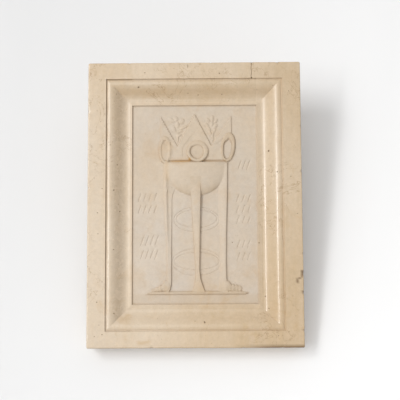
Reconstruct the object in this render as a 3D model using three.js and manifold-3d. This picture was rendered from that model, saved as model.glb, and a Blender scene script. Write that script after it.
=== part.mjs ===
// Stone relief panel: an upright slab of honed limestone. A flat border and a
// moulding frame a sunk field, which holds a low relief of a three-legged
// cauldron with ring handles and rows of short cut strokes on each side.
// Millimetres. +Z is up and the front faces -Y. The origin is the middle of
// the flat back face, which lies against the wall.

import * as THREE from "three";
import { mergeVertices } from "three/addons/utils/BufferGeometryUtils.js";
import Module from "manifold-3d";

const wasm = await Module();
wasm.setup();

// Slab
const PANEL_WIDTH = 300;
const PANEL_HEIGHT = 400;
const PANEL_THICKNESS = 35;
const ARRIS = 1.4;
const ARRIS_STEPS = 2;
const CORNER_STEPS = 2;

// Frame: flat border, then the moulding from its outer line inwards
const BORDER_SIDES = 25.3;
const BORDER_ENDS = 23;
const QUIRK_WALL = 0.25;
const QUIRK_WIDTH = 2;
const QUIRK_DEPTH = 2.3;
const ROLL_WIDTH = 3.9;
const ROLL_EDGE_DEPTH = 1.8;
const ROLL_TOP_DEPTH = 1;
const SWEEP_WIDTH = 23.2;
const HOLLOW_DEPTH = 12.6;
const RISE_WIDTH = 6.8;
const RISE_POWER = 1.6;
const LIP_DEPTH = 11.4;
const STEP_WIDTH = 1;
const FIELD_DEPTH = 14;
const ROLL_STEPS = 3;
const SWEEP_STEPS = 8;
const RISE_STEPS = 2;

// Room between the relief and the field's lower and upper edges
const FOOT_GAP = 17;
const CROWN_GAP = 11.2;

// How far each part of the relief stands out from the field
const BOWL_RISE = 7.8;
const LEFT_LEG_RISE = 3;
const MIDDLE_LEG_RISE = 6;
const RIGHT_LEG_RISE = 3.2;
const LEFT_RING_RISE = 2.9;
const MIDDLE_RING_RISE = 4.6;
const RIGHT_RING_RISE = 3.2;
const STRUT_RISE = 1.8;
const CROWN_SHEET_RISE = 1.3;
const LEAF_RISE = 1;
const PAW_RISE = 3.6;
const LEDGE_RISE = 2.4;

// How deep the cuts go into the field
const STROKE_DEPTH = 0.9;
const STROKE_HALF_WIDTH = 1.15;
const HOOP_LINE_DEPTH = 0.85;

// Relief solids reach this far into the slab, so that they are one with it
const EMBED = 1.5;

// Round forms sit this much below the field and pointed cuts this much above
// it, so that none of their corners lies in its plane
const SEAT = 0.2;

const frontY = -PANEL_THICKNESS;
const fieldY = frontY + FIELD_DEPTH;
const mouldingWidth = QUIRK_WIDTH + ROLL_WIDTH + SWEEP_WIDTH + RISE_WIDTH + STEP_WIDTH;
const openingHalfWidth = PANEL_WIDTH / 2 - BORDER_SIDES;
const openingHalfHeight = PANEL_HEIGHT / 2 - BORDER_ENDS;
const fieldHalfWidth = openingHalfWidth - mouldingWidth;
const fieldHalfHeight = openingHalfHeight - mouldingWidth;
const fieldWidth = 2 * fieldHalfWidth;
const footLine = -fieldHalfHeight + FOOT_GAP;
const tripodHeight = fieldHalfHeight - CROWN_GAP - footLine;

// The relief is a free form: its places across are hundredths of the field's
// width from the middle, and its places up are hundredths of its own height
// from the foot line.
const across = (share) => (share / 100) * fieldWidth;
const up = (share) => footLine + (share / 100) * tripodHeight;
const tall = (share) => (share / 100) * tripodHeight;

// Plain conversions between a closed mesh and a solid that can be cut

function solidOf(geometry) {
  const bare = geometry.clone();
  bare.deleteAttribute("normal");
  bare.deleteAttribute("uv");
  const merged = mergeVertices(bare, 1e-4);
  const mesh = new wasm.Mesh({
    numProp: 3,
    vertProperties: new Float32Array(merged.attributes.position.array),
    triVerts: new Uint32Array(merged.index.array),
  });
  return new wasm.Manifold(mesh);
}

function geometryOf(solid) {
  const mesh = solid.getMesh();
  const geometry = new THREE.BufferGeometry();
  geometry.setAttribute("position", new THREE.BufferAttribute(mesh.vertProperties, mesh.numProp));
  geometry.setIndex(new THREE.BufferAttribute(mesh.triVerts, 1));
  geometry.computeVertexNormals();
  return geometry;
}

function joined(solids) {
  return solids.reduce((whole, solid) => whole.add(solid));
}

// Closed body through rings of points that run the same way round, each ring
// seen counter-clockwise from the side that the next one lies on
function loft(rings) {
  const count = rings[0].length;
  const last = (rings.length - 1) * count;
  const index = [];
  for (let ring = 0; ring + 1 < rings.length; ring += 1) {
    for (let point = 0; point < count; point += 1) {
      const here = ring * count + point;
      const next = ring * count + ((point + 1) % count);
      index.push(here, next, here + count);
      index.push(next, next + count, here + count);
    }
  }
  for (let point = 1; point + 1 < count; point += 1) {
    index.push(0, point + 1, point);
    index.push(last, last + point, last + point + 1);
  }
  const geometry = new THREE.BufferGeometry();
  const positions = rings.flat().flatMap((point) => [point.x, point.y, point.z]);
  geometry.setAttribute("position", new THREE.Float32BufferAttribute(positions, 3));
  geometry.setIndex(index);
  return solidOf(geometry);
}

// Outline drawn across and up, from just inside the field to its rise over it
function raised(shape, rise, curveSteps = 6) {
  const geometry = new THREE.ExtrudeGeometry(shape, {
    depth: EMBED + rise,
    bevelEnabled: false,
    curveSegments: curveSteps,
  });
  geometry.rotateX(Math.PI / 2);
  geometry.translate(0, fieldY + EMBED, 0);
  return solidOf(geometry);
}

function outline(points) {
  return new THREE.Shape(points.map(([x, z]) => new THREE.Vector2(across(x), up(z))));
}

// Slab and moulding

function rectangle(halfWidth, halfHeight, y) {
  return [
    new THREE.Vector3(-halfWidth, y, -halfHeight),
    new THREE.Vector3(halfWidth, y, -halfHeight),
    new THREE.Vector3(halfWidth, y, halfHeight),
    new THREE.Vector3(-halfWidth, y, halfHeight),
  ];
}

function slab() {
  const halfWidth = PANEL_WIDTH / 2 - ARRIS;
  const halfHeight = PANEL_HEIGHT / 2 - ARRIS;
  const shape = new THREE.Shape([
    new THREE.Vector2(-halfWidth, -halfHeight),
    new THREE.Vector2(halfWidth, -halfHeight),
    new THREE.Vector2(halfWidth, halfHeight),
    new THREE.Vector2(-halfWidth, halfHeight),
  ]);
  const rounds = [];
  for (let corner = 0; corner < 4; corner += 1) {
    const centre = shape.getPoints(1)[corner];
    for (let step = 0; step <= CORNER_STEPS; step += 1) {
      const turn = Math.PI + (corner + step / CORNER_STEPS) * (Math.PI / 2);
      rounds.push([centre.x, centre.y, Math.cos(turn), Math.sin(turn)]);
    }
  }
  const ring = (reach, y) => rounds.map(([x, z, outX, outZ]) =>
    new THREE.Vector3(x + reach * outX, y, z + reach * outZ));
  const rings = [ring(ARRIS, 0)];
  for (let step = 0; step <= ARRIS_STEPS; step += 1) {
    const turn = (step / ARRIS_STEPS) * (Math.PI / 2);
    const reach = ARRIS * Math.cos(turn);
    rings.push(ring(Math.max(reach, ARRIS * 0.02), frontY + ARRIS * (1 - Math.sin(turn))));
  }
  return loft(rings);
}

// The moulding's profile: how far in from the border, and how deep
function mouldingProfile() {
  const profile = [
    { inset: 0, depth: 0 },
    { inset: QUIRK_WALL, depth: QUIRK_DEPTH },
    { inset: QUIRK_WIDTH, depth: QUIRK_DEPTH },
  ];
  let start = QUIRK_WIDTH + QUIRK_WALL;
  const rollWidth = ROLL_WIDTH - QUIRK_WALL;
  for (let step = 0; step <= ROLL_STEPS; step += 1) {
    const part = step / ROLL_STEPS;
    const rise = (ROLL_EDGE_DEPTH - ROLL_TOP_DEPTH) * Math.sin(part * (Math.PI / 2));
    profile.push({ inset: start + rollWidth * part, depth: ROLL_EDGE_DEPTH - rise });
  }
  start += rollWidth;
  for (let step = 1; step <= SWEEP_STEPS; step += 1) {
    const part = step / SWEEP_STEPS;
    const eased = (1 - Math.cos(part * Math.PI)) / 2;
    const depth = ROLL_TOP_DEPTH + (HOLLOW_DEPTH - ROLL_TOP_DEPTH) * eased;
    profile.push({ inset: start + SWEEP_WIDTH * part, depth });
  }
  start += SWEEP_WIDTH;
  for (let step = 1; step <= RISE_STEPS; step += 1) {
    const part = step / RISE_STEPS;
    const depth = HOLLOW_DEPTH + (LIP_DEPTH - HOLLOW_DEPTH) * part ** RISE_POWER;
    profile.push({ inset: start + RISE_WIDTH * part, depth });
  }
  profile.push({ inset: mouldingWidth, depth: FIELD_DEPTH });
  return profile;
}

// What is cut out of the slab's front: everything over the moulding and field
function frameCutter() {
  const clear = 2 * ARRIS;
  const rings = mouldingProfile().map(({ inset, depth }) =>
    rectangle(openingHalfWidth - inset, openingHalfHeight - inset, frontY + depth));
  rings.push(rectangle(openingHalfWidth, openingHalfHeight, frontY - clear));
  const cutRings = [rings.pop(), ...rings];
  return loft(cutRings.map((ring) => ring.toReversed()));
}

// Legs

// A leg from slices up the field. Each slice is its height, then places across
// from left to right with the share of the leg's rise that each one has.
function leg(rise, slices) {
  return loft(slices.map(([height, ...places]) => {
    const edge = [
      [places[0][0], -EMBED],
      ...places.map(([x, share]) => [x, share * rise]),
      [places.at(-1)[0], -EMBED],
    ];
    return edge.map(([x, out]) => new THREE.Vector3(across(x), fieldY - out, up(height)));
  }));
}

// A raised strip with a low bracket on its right that widens under the bowl
const LEFT_LEG = [
  [-0.5, [-22.9, 0.1], [-22.2, 0.9], [-21.8, 0.95], [-21.3, 1]],
  [1.5, [-22.9, 0.1], [-21.8, 0.9], [-20.9, 0.95], [-19.9, 1]],
  [4, [-22.9, 0.1], [-21.6, 0.9], [-20.4, 0.95], [-19.1, 0.95]],
  [9, [-23, 0.1], [-21.6, 0.9], [-20.4, 0.9], [-19, 0.85]],
  [26, [-23.3, 0.1], [-21.9, 0.9], [-20.5, 0.75], [-18.8, 0.6]],
  [37, [-24.3, 0.1], [-22.3, 1], [-20.8, 0.5], [-18.6, 0.45]],
  [51, [-25.3, 0.1], [-22.5, 1], [-21.8, 0.32], [-18.4, 0.3]],
  [54.5, [-25.5, 0.1], [-22.5, 1], [-21.9, 0.3], [-17.6, 0.24]],
  [57.5, [-25.6, 0.1], [-22.5, 1], [-21.9, 0.3], [-15.6, 0.2]],
  [71.6, [-25.8, 0.1], [-22.6, 1], [-22, 0.3], [-15.6, 0.2]],
];

// Square-edged, standing out most where it crosses the bowl
const MIDDLE_LEG = [
  [-0.5, [-2.7, 0.1], [1, 0.4], [5.2, 0.5], [7.9, 0.5]],
  [3.5, [-0.8, 0.15], [1.6, 0.45], [4.2, 0.55], [5.9, 0.55]],
  [7, [0.1, 0.3], [1.8, 0.5], [3.2, 0.6], [4.2, 0.6]],
  [12, [0.4, 0.4], [1.8, 0.58], [2.7, 0.66], [3.5, 0.64]],
  [34, [-1.5, 0.5], [1, 0.72], [2.6, 0.8], [4, 0.76]],
  [56.5, [-3.4, 0.7], [0, 0.9], [3, 1], [4.8, 0.96]],
  [64, [-3.4, 0.75], [0, 0.93], [3, 1], [4.8, 0.96]],
];

// Rising smoothly from the field to a square right edge
const RIGHT_LEG = [
  [-0.5, [17.9, 0.05], [21, 0.6], [25, 0.9], [26.4, 0.88]],
  [7, [19.4, 0.05], [21.6, 0.6], [23.6, 0.9], [25, 0.88]],
  [16.5, [20, 0.05], [22, 0.6], [23.3, 0.9], [24.7, 0.88]],
  [34, [19.6, 0.05], [21.6, 0.6], [23.7, 1], [25.1, 0.95]],
  [51, [18.6, 0.05], [21, 0.6], [24.5, 1], [25.9, 0.95]],
  [71.6, [18.8, 0.05], [21.4, 0.6], [25, 1], [26.4, 0.95]],
];

function legs() {
  return [
    leg(LEFT_LEG_RISE, LEFT_LEG),
    leg(MIDDLE_LEG_RISE, MIDDLE_LEG),
    leg(RIGHT_LEG_RISE, RIGHT_LEG),
  ];
}

// Cauldron

const BOWL = {
  rim: 72.6,
  bottom: 53.3,
  middle: 0.9,
  halfWidth: 26.2,
  topDrop: 0.3,
  roundness: 2.1,
};
const BOWL_STEPS = 6;
const BOWL_SIDES = 40;

function bowl() {
  const profile = [new THREE.Vector2(0, EMBED), new THREE.Vector2(1, EMBED)];
  for (let step = 0; step < BOWL_STEPS; step += 1) {
    const radius = Math.cos((step / BOWL_STEPS) * (Math.PI / 2));
    const rise = SEAT + (BOWL_RISE - SEAT) * Math.sqrt(1 - radius ** BOWL.roundness);
    profile.push(new THREE.Vector2(radius, -rise));
  }
  profile.push(new THREE.Vector2(0, -BOWL_RISE));
  const dome = new THREE.LatheGeometry(profile.reverse(), BOWL_SIDES);
  const place = dome.attributes.position;
  for (let vertex = 0; vertex < place.count; vertex += 1) {
    const drop = BOWL.topDrop * Math.max(0, 1 + place.getZ(vertex)) ** 2;
    place.setY(vertex, place.getY(vertex) * (1 - drop));
  }
  dome.scale(across(BOWL.halfWidth), 1, tall(BOWL.rim - BOWL.bottom));
  dome.translate(across(BOWL.middle), fieldY, up(BOWL.rim));
  const overHeight = tall(BOWL.rim);
  const overRim = new THREE.BoxGeometry(3 * across(BOWL.halfWidth), 4 * BOWL_RISE, overHeight);
  overRim.translate(across(BOWL.middle), fieldY, up(BOWL.rim) + overHeight / 2);
  return solidOf(dome).subtract(solidOf(overRim));
}

// Ring handles: middle, outer half sizes, band, how much it thickens at the top
// and on its right side, rise, how far it leans out at the bottom, tilt, and
// whether the crown is cut away inside it
const RINGS = [
  {
    x: -23.8, z: 79.4, halfWidth: 3.6, halfHeight: 7.7, band: 1.6, thicken: 0.8, side: 0,
    rise: LEFT_RING_RISE, lean: 0, tilt: 0, open: false,
  },
  {
    x: 2.4, z: 78.4, halfWidth: 6.3, halfHeight: 6.3, band: 2.2, thicken: 0.6, side: 1.1,
    rise: MIDDLE_RING_RISE, lean: 0.42, tilt: 0, open: false,
  },
  {
    x: 27.1, z: 80.8, halfWidth: 4, halfHeight: 8.4, band: 1.5, thicken: 2.3, side: 0.5,
    rise: RIGHT_RING_RISE, lean: 0, tilt: 0.12, open: true,
  },
];

// How sharply a band thickens towards its top and its right
const THICKEN_POWER = 2.6;

function ring({ x, z, halfWidth, halfHeight, band, thicken, side, rise, lean, tilt }) {
  const tube = 0.5;
  const hoop = new THREE.TorusGeometry(1, tube, 8, 28);
  hoop.rotateX(Math.PI / 2);
  const reachX = tall(halfWidth) - tall(band) / 2;
  const reachZ = tall(halfHeight) - tall(band) / 2;
  const place = hoop.attributes.position;
  for (let vertex = 0; vertex < place.count; vertex += 1) {
    const px = place.getX(vertex);
    const pz = place.getZ(vertex);
    const radius = Math.hypot(px, pz);
    const high = pz / radius;
    const rightward = Math.max(0, px / radius) ** THICKEN_POWER;
    const upward = Math.max(0, high) ** THICKEN_POWER;
    const extra = tall(thicken) * upward + tall(side) * rightward;
    const off = ((radius - 1) / tube) * (tall(band) + extra) / 2 - extra / 2;
    place.setXYZ(
      vertex,
      (px / radius) * (reachX + off),
      (place.getY(vertex) / tube) * rise * (1 - lean * high),
      high * (reachZ + off),
    );
  }
  hoop.rotateY(tilt);
  hoop.translate(across(x), fieldY + SEAT, up(z));
  return solidOf(hoop);
}

// The hole of an open ring goes through the crown to the field
function ringHole({ x, z, halfWidth, halfHeight, band, thicken, side, tilt }) {
  const shape = new THREE.Shape();
  const halfX = tall(halfWidth - band - side / 2);
  const halfZ = tall(halfHeight - band - thicken / 2);
  shape.absellipse(-tall(side) / 2, -tall(thicken) / 2, halfX, halfZ, 0, 2 * Math.PI, false, 0);
  const hole = new THREE.ExtrudeGeometry(shape, {
    depth: 2 * STRUT_RISE + SEAT,
    bevelEnabled: false,
    curveSegments: 14,
  });
  hole.rotateX(Math.PI / 2);
  hole.rotateY(tilt);
  hole.translate(across(x), fieldY + SEAT, up(z));
  return solidOf(hole);
}

// Crown: three pointed peaks of flat struts over a thin sheet

const CROWN = {
  foot: 73.3,
  strut: 3.2,
  drop: 10,
  peaks: [[-27.4, 98.4], [0, 100], [30, 98.8]],
  valleys: [[-13.8, 81.4], [13.6, 81.8]],
};

function crownOutline() {
  const { foot, peaks, valleys } = CROWN;
  return [
    [peaks[0][0], foot],
    [peaks[2][0], foot],
    peaks[2],
    valleys[1],
    peaks[1],
    valleys[0],
    peaks[0],
  ];
}

// Openings inside the peaks, about a strut's width in from their outer edges
function peakOpenings() {
  const { strut, drop, peaks, valleys } = CROWN;
  const foot = CROWN.foot + strut / 2;
  const leftSide = peaks[0][0] + strut * 0.7;
  const leftOfMiddle = valleys[0][0] + strut * 1.2;
  const rightOfMiddle = valleys[1][0] - strut * 1.2;
  const rightSide = peaks[2][0] - strut * 0.7;
  const lift = 0.5;
  return [
    [
      [leftSide, peaks[0][1] - drop],
      [leftSide, valleys[0][1] + lift],
      [valleys[0][0] - strut, valleys[0][1] + lift],
    ],
    [
      [peaks[1][0], peaks[1][1] - drop],
      [leftOfMiddle, valleys[0][1] - 2 * lift],
      [leftOfMiddle, foot],
      [rightOfMiddle, foot],
      [rightOfMiddle, valleys[1][1] - 2 * lift],
    ],
    [
      [rightSide, peaks[2][1] - drop],
      [valleys[1][0] + strut, valleys[1][1] + lift],
      [rightSide, valleys[1][1] + lift],
    ],
  ];
}

function crown() {
  const struts = raised(outline(crownOutline()), STRUT_RISE);
  const sunk = peakOpenings().map((points) => {
    const cut = new THREE.ExtrudeGeometry(outline(points), {
      depth: 2 * STRUT_RISE,
      bevelEnabled: false,
    });
    cut.rotateX(Math.PI / 2);
    cut.translate(0, fieldY - CROWN_SHEET_RISE, 0);
    return solidOf(cut);
  });
  const holes = RINGS.filter(({ open }) => open).map(ringHole);
  return struts.subtract(joined([...sunk, ...holes]));
}

// Sprays of leaves in the notches of the crown. Each leaf has its middle
// across and up, half its width, half its length and its lean.
const LEAVES = [
  [-18.5, 96.2, 1.2, 1.7, -0.9],
  [-14.9, 97, 1.2, 1.5, -0.2],
  [-10.3, 95.6, 1.3, 1.8, 0.6],
  [-8.1, 92.4, 0.65, 2.7, 1.1],
  [-12.2, 89.9, 0.75, 2.1, 1.3],
  [-12.4, 87.6, 0.6, 1.7, 1.1],
  [-16.6, 91.6, 0.75, 2.3, -0.35],
  [-13.7, 93.6, 1.1, 1.9, 0.1],
  [-13.4, 86.4, 0.4, 3.4, 0.1],
  [10.9, 96.2, 0.9, 1.5, -0.7],
  [14.5, 97.4, 0.9, 1.6, 0],
  [17.3, 95.8, 0.9, 1.6, 0.6],
  [10.2, 93.4, 0.8, 1.4, -0.8],
  [14.1, 94.4, 0.9, 1.7, 0],
  [16.9, 92.8, 0.85, 1.6, 0.7],
  [11.8, 91.2, 0.8, 1.5, -0.6],
  [15.9, 90.2, 0.85, 1.7, 0.5],
  [12.9, 88.6, 0.7, 1.5, -0.3],
  [14.6, 86.4, 0.7, 3, 0.05],
];

function leaf([x, z, halfWidth, halfLength, lean]) {
  const blade = new THREE.SphereGeometry(1, 8, 6);
  blade.scale(tall(halfWidth), LEAF_RISE, tall(halfLength));
  blade.rotateY(lean);
  blade.translate(across(x), fieldY + SEAT, up(z));
  return solidOf(blade);
}

// Feet

function toe(x, z, halfWidth, halfHeight, rise) {
  const pad = new THREE.SphereGeometry(1, 10, 6);
  pad.scale(tall(halfWidth), rise, tall(halfHeight));
  pad.translate(across(x), fieldY + SEAT, up(z));
  return solidOf(pad);
}

// A lion's paw turned outwards: its pad beside the heel and four toes, each
// lower than the last by the fall. Toes stand in the foot line by the toe sink.
const PAD = { offset: 0.6, z: 2.9, halfWidth: 2.4, halfHeight: 3.2, rise: 0.95 };
const TOES = 4;
const TOE_PITCH = 2.7;
const TOE_HALF_WIDTH = 1.3;
const TOE_HALF_HEIGHT = 2.4;
const TOE_SINK = 0.2;
const FIRST_TOE_RISE = 0.9;
const TOE_RISE_FALL = 0.14;

const PAWS = [
  { heel: -22.2, side: -1, fall: 0.5 },
  { heel: 24.6, side: 1, fall: 0.25 },
];

function paw({ heel, side, fall }) {
  const padX = heel + side * PAD.offset;
  const pieces = [toe(padX, PAD.z, PAD.halfWidth, PAD.halfHeight, PAD.rise * PAW_RISE)];
  for (let number = 0; number < TOES; number += 1) {
    const x = heel + side * TOE_PITCH * (number + 1);
    const halfHeight = TOE_HALF_HEIGHT - fall * number;
    const rise = PAW_RISE * (FIRST_TOE_RISE - TOE_RISE_FALL * number);
    pieces.push(toe(x, halfHeight - TOE_SINK, TOE_HALF_WIDTH, halfHeight, rise));
  }
  return pieces;
}

function ledge() {
  const bar = outline([
    [-39.9, -1.6],
    [40, -1.6],
    [42.9, -0.7],
    [33, 0.2],
    [-33, 0],
  ]);
  return raised(bar, LEDGE_RISE);
}

// Cut lines

// Oval lines cut between the legs, where hoops brace them
const HOOP_MIDDLE = 1.5;
const HOOP_LINE_HALF_WIDTH = 0.25;

function hoopLine(z, halfWidth, halfHeight) {
  const line = new THREE.TorusGeometry(1, 0.5, 4, 40);
  line.rotateX(Math.PI / 2);
  const place = line.attributes.position;
  for (let vertex = 0; vertex < place.count; vertex += 1) {
    const px = place.getX(vertex);
    const pz = place.getZ(vertex);
    const radius = Math.hypot(px, pz);
    const off = (radius - 1) * 2;
    place.setXYZ(
      vertex,
      (px / radius) * tall(halfWidth + off * HOOP_LINE_HALF_WIDTH),
      place.getY(vertex) * 2 * HOOP_LINE_DEPTH,
      (pz / radius) * tall(halfHeight + off * HOOP_LINE_HALF_WIDTH),
    );
  }
  line.translate(across(HOOP_MIDDLE), fieldY - SEAT, up(z));
  return solidOf(line);
}

function hoopLines() {
  return [
    hoopLine(40.4, 11.3, 4.9),
    hoopLine(39.9, 12.7, 6.9),
    hoopLine(16.7, 12.4, 4.8),
    hoopLine(16.2, 13.7, 7.4),
  ];
}

// Rows of short slanted strokes, in blocks beside the legs
const STROKE_SLANT = 0.35;
const STROKE_SHARE_OF_ROW = 0.4;
const STROKE_BLOCKS = [
  { left: -46.4, right: -29.6, bottom: 42.6, top: 55.9, rows: 2, perRow: 4 },
  { left: -44, right: -28.8, bottom: 17, top: 32, rows: 2, perRow: 4 },
  { left: 34.8, right: 45.2, bottom: 67, top: 74.2, rows: 1, perRow: 3 },
  { left: 32.4, right: 46, bottom: 36.6, top: 54.8, rows: 3, perRow: 3 },
  { left: 33, right: 45.2, bottom: 16, top: 29.6, rows: 2, perRow: 3 },
];

function strokeBlock({ left, right, bottom, top, rows, perRow }) {
  const strokes = [];
  const rowPitch = (top - bottom) / rows;
  const strokePitch = (right - left) / perRow;
  for (let row = 0; row < rows; row += 1) {
    for (let number = 0; number < perRow; number += 1) {
      const stroke = new THREE.OctahedronGeometry(1);
      stroke.scale(STROKE_HALF_WIDTH, STROKE_DEPTH, tall(rowPitch * STROKE_SHARE_OF_ROW));
      stroke.rotateY(STROKE_SLANT);
      stroke.translate(
        across(left + strokePitch * (number + 0.5)),
        fieldY - SEAT,
        up(bottom + rowPitch * (row + 0.5)),
      );
      strokes.push(solidOf(stroke));
    }
  }
  return strokes;
}

function reliefPanel() {
  const ground = slab()
    .subtract(frameCutter())
    .subtract(joined([...hoopLines(), ...STROKE_BLOCKS.flatMap(strokeBlock)]));
  const relief = joined([
    crown(),
    ...LEAVES.map(leaf),
    bowl(),
    ...legs(),
    ...RINGS.map(ring),
    ledge(),
    ...PAWS.flatMap(paw),
  ]);
  return geometryOf(ground.add(relief));
}

const limestone = new THREE.MeshStandardMaterial({
  color: 0xcdbb9c,
  roughness: 0.5,
  metalness: 0,
});

const panel = new THREE.Mesh(reliefPanel(), limestone);
panel.name = "relief_panel";

const object = new THREE.Group();
object.add(panel);

export default object;
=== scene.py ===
import math

import bpy
import numpy as np
from mathutils import Matrix, Vector


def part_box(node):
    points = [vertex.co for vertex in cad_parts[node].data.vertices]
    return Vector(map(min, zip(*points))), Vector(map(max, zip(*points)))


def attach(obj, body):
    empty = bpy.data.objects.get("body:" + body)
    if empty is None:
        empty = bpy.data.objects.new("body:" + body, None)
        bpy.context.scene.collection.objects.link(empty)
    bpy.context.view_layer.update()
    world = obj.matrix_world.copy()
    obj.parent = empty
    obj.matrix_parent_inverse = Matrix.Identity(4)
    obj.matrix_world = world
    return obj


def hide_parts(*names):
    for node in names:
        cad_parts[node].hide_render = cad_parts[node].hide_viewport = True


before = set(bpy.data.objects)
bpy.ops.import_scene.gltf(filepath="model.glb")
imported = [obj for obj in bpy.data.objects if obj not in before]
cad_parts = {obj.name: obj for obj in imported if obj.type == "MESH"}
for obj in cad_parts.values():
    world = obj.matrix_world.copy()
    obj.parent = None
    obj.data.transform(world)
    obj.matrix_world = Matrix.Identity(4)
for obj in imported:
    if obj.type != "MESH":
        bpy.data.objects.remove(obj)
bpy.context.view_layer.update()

# Sizes are in millimetres here, as the stone is measured, and meshes are made
# in metres. X is across, Z is up, the front faces -Y.
MM = 0.001

low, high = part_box("relief_panel")
PANEL_WIDTH = (high[0] - low[0]) / MM
PANEL_HEIGHT = (high[2] - low[2]) / MM
PANEL_THICKNESS = (high[1] - low[1]) / MM

# Edges of the slab
ARRIS = 1.4
CORNER_ROUND = 2.2
QUIRK_WALL = 0.25

# Frame: flat border, then the moulding from its outer line inwards
BORDER_SIDES = 25.3
BORDER_ENDS = 23.0
QUIRK_WIDTH = 2.0
QUIRK_DEPTH = 2.3
ROLL_WIDTH = 3.9
ROLL_EDGE_DEPTH = 1.8
ROLL_TOP_DEPTH = 1.0
SWEEP_WIDTH = 23.2
HOLLOW_DEPTH = 12.6
RISE_WIDTH = 6.8
LIP_DEPTH = 11.4
STEP_WIDTH = 1.0
RISE_POWER = 1.6
FIELD_DEPTH = 14.0

# Room between the relief and the field's lower and upper edges
FOOT_GAP = 17.0
CROWN_GAP = 11.2

# How far each part of the relief stands out from the field
BOWL_RISE = 7.8
LEFT_LEG_RISE = 3.0
MIDDLE_LEG_RISE = 6.0
RIGHT_LEG_RISE = 3.2
RIGHT_RING_RISE = 3.2
MIDDLE_RING_RISE = 4.6
LEFT_RING_RISE = 2.9
STRUT_RISE = 1.8
CROWN_SHEET_RISE = 1.3
LEAF_RISE = 1.0
PAW_RISE = 3.6
LEDGE_RISE = 2.4

# How deep the cuts go into the field
STROKE_DEPTH = 0.9
HOOP_LINE_DEPTH = 0.85

# Mesh fineness: cells, and steps around the arris and over each part of the
# moulding
FIELD_CELL = 0.95
BORDER_CELL = 3.2
SIDE_CELL = 6.0
ARRIS_STEPS = 4
ROLL_STEPS = 4
SWEEP_STEPS = 13
RISE_STEPS = 4
STEP_LINE_SHARE = 0.8

# Gaps between the flat border's first and last mesh lines and its edges
FLAT_OUTER_GAP = 0.8
FLAT_INNER_GAP = 0.4

half_width = PANEL_WIDTH / 2
half_height = PANEL_HEIGHT / 2
roll_start = QUIRK_WIDTH + QUIRK_WALL
roll_end = QUIRK_WIDTH + ROLL_WIDTH
sweep_end = roll_end + SWEEP_WIDTH
rise_end = sweep_end + RISE_WIDTH
moulding_width = rise_end + STEP_WIDTH
opening_half_width = half_width - BORDER_SIDES
opening_half_height = half_height - BORDER_ENDS
field_half_width = opening_half_width - moulding_width
field_half_height = opening_half_height - moulding_width
field_width = 2 * field_half_width
foot_line = -field_half_height + FOOT_GAP
tripod_height = field_half_height - CROWN_GAP - foot_line


# The relief's places across are hundredths of the field's width from the
# middle, and its places up are hundredths of its height from the foot line.
def across(share):
    return share / 100 * field_width


def up(share):
    return foot_line + share / 100 * tripod_height


def tall(share):
    return share / 100 * tripod_height


def ease(value):
    """0 to 1 along a smooth step."""
    value = np.clip(value, 0.0, 1.0)
    return value * value * (3 - 2 * value)


def portion(value, start, width):
    """How far a value is along a stretch, held between 0 and 1."""
    return np.clip((value - start) / width, 0, 1)


def fading(distance, reach, core=1.0):
    """1 near a place, falling to 0 at a distance of core times the reach."""
    return np.clip(core - distance / reach, 0, 1)


# Size of the noise's table of random values, and the place of the middle in it
NOISE_TABLE = 96
NOISE_MIDDLE = 40


def soft_noise(x, z, size, seed):
    """Smooth uneven values from -1 to 1 with lumps of the given size."""
    draw = np.random.default_rng(seed)
    table = draw.uniform(-1, 1, (NOISE_TABLE, NOISE_TABLE))
    gx = x / size + NOISE_MIDDLE
    gz = z / size + NOISE_MIDDLE
    ix = np.floor(gx).astype(int)
    iz = np.floor(gz).astype(int)
    fx = ease(gx - ix)
    fz = ease(gz - iz)

    def row(step):
        level = (iz + step) % NOISE_TABLE
        before = table[ix % NOISE_TABLE, level]
        after = table[(ix + 1) % NOISE_TABLE, level]
        return before * (1 - fx) + after * fx

    return row(0) * (1 - fz) + row(1) * fz


def inset_from_border(x, z):
    """Distance in from the border's inner line, negative on the border."""
    return np.minimum(opening_half_width - np.abs(x), opening_half_height - np.abs(z))


def inset_from_edge(x, z):
    return np.minimum(half_width - np.abs(x), half_height - np.abs(z))


# Moulding

def frame_depth(inset):
    """Depth below the border at a distance in from the border's inner line."""
    depth = QUIRK_DEPTH * portion(inset, 0, QUIRK_WALL)
    depth = depth + (ROLL_EDGE_DEPTH - QUIRK_DEPTH) * portion(inset, QUIRK_WIDTH, QUIRK_WALL)
    turn = portion(inset, roll_start, roll_end - roll_start) * math.pi / 2
    roll = ROLL_EDGE_DEPTH + (ROLL_TOP_DEPTH - ROLL_EDGE_DEPTH) * np.sin(turn)
    depth = np.where(inset > roll_start, roll, depth)
    down = (1 - np.cos(portion(inset, roll_end, SWEEP_WIDTH) * math.pi)) / 2
    sweep = ROLL_TOP_DEPTH + (HOLLOW_DEPTH - ROLL_TOP_DEPTH) * down
    depth = np.where(inset > roll_end, sweep, depth)
    back_up = portion(inset, sweep_end, RISE_WIDTH) ** RISE_POWER
    rise = HOLLOW_DEPTH + (LIP_DEPTH - HOLLOW_DEPTH) * back_up
    depth = np.where(inset > sweep_end, rise, depth)
    step = LIP_DEPTH + (FIELD_DEPTH - LIP_DEPTH) * portion(inset, rise_end, STEP_WIDTH)
    return np.where(inset > rise_end, step, depth)


def frame_lines():
    """Distances in from the border's inner line where the mesh has lines."""
    lines = [0.0, QUIRK_WALL, QUIRK_WIDTH, roll_start]
    lines += list(np.linspace(roll_start, roll_end, ROLL_STEPS + 1)[1:-1])
    lines += list(np.linspace(roll_end, sweep_end, SWEEP_STEPS + 1))
    lines += list(np.linspace(sweep_end, rise_end, RISE_STEPS + 1)[1:])
    return lines + [rise_end + STEP_WIDTH * STEP_LINE_SHARE, moulding_width]


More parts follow.
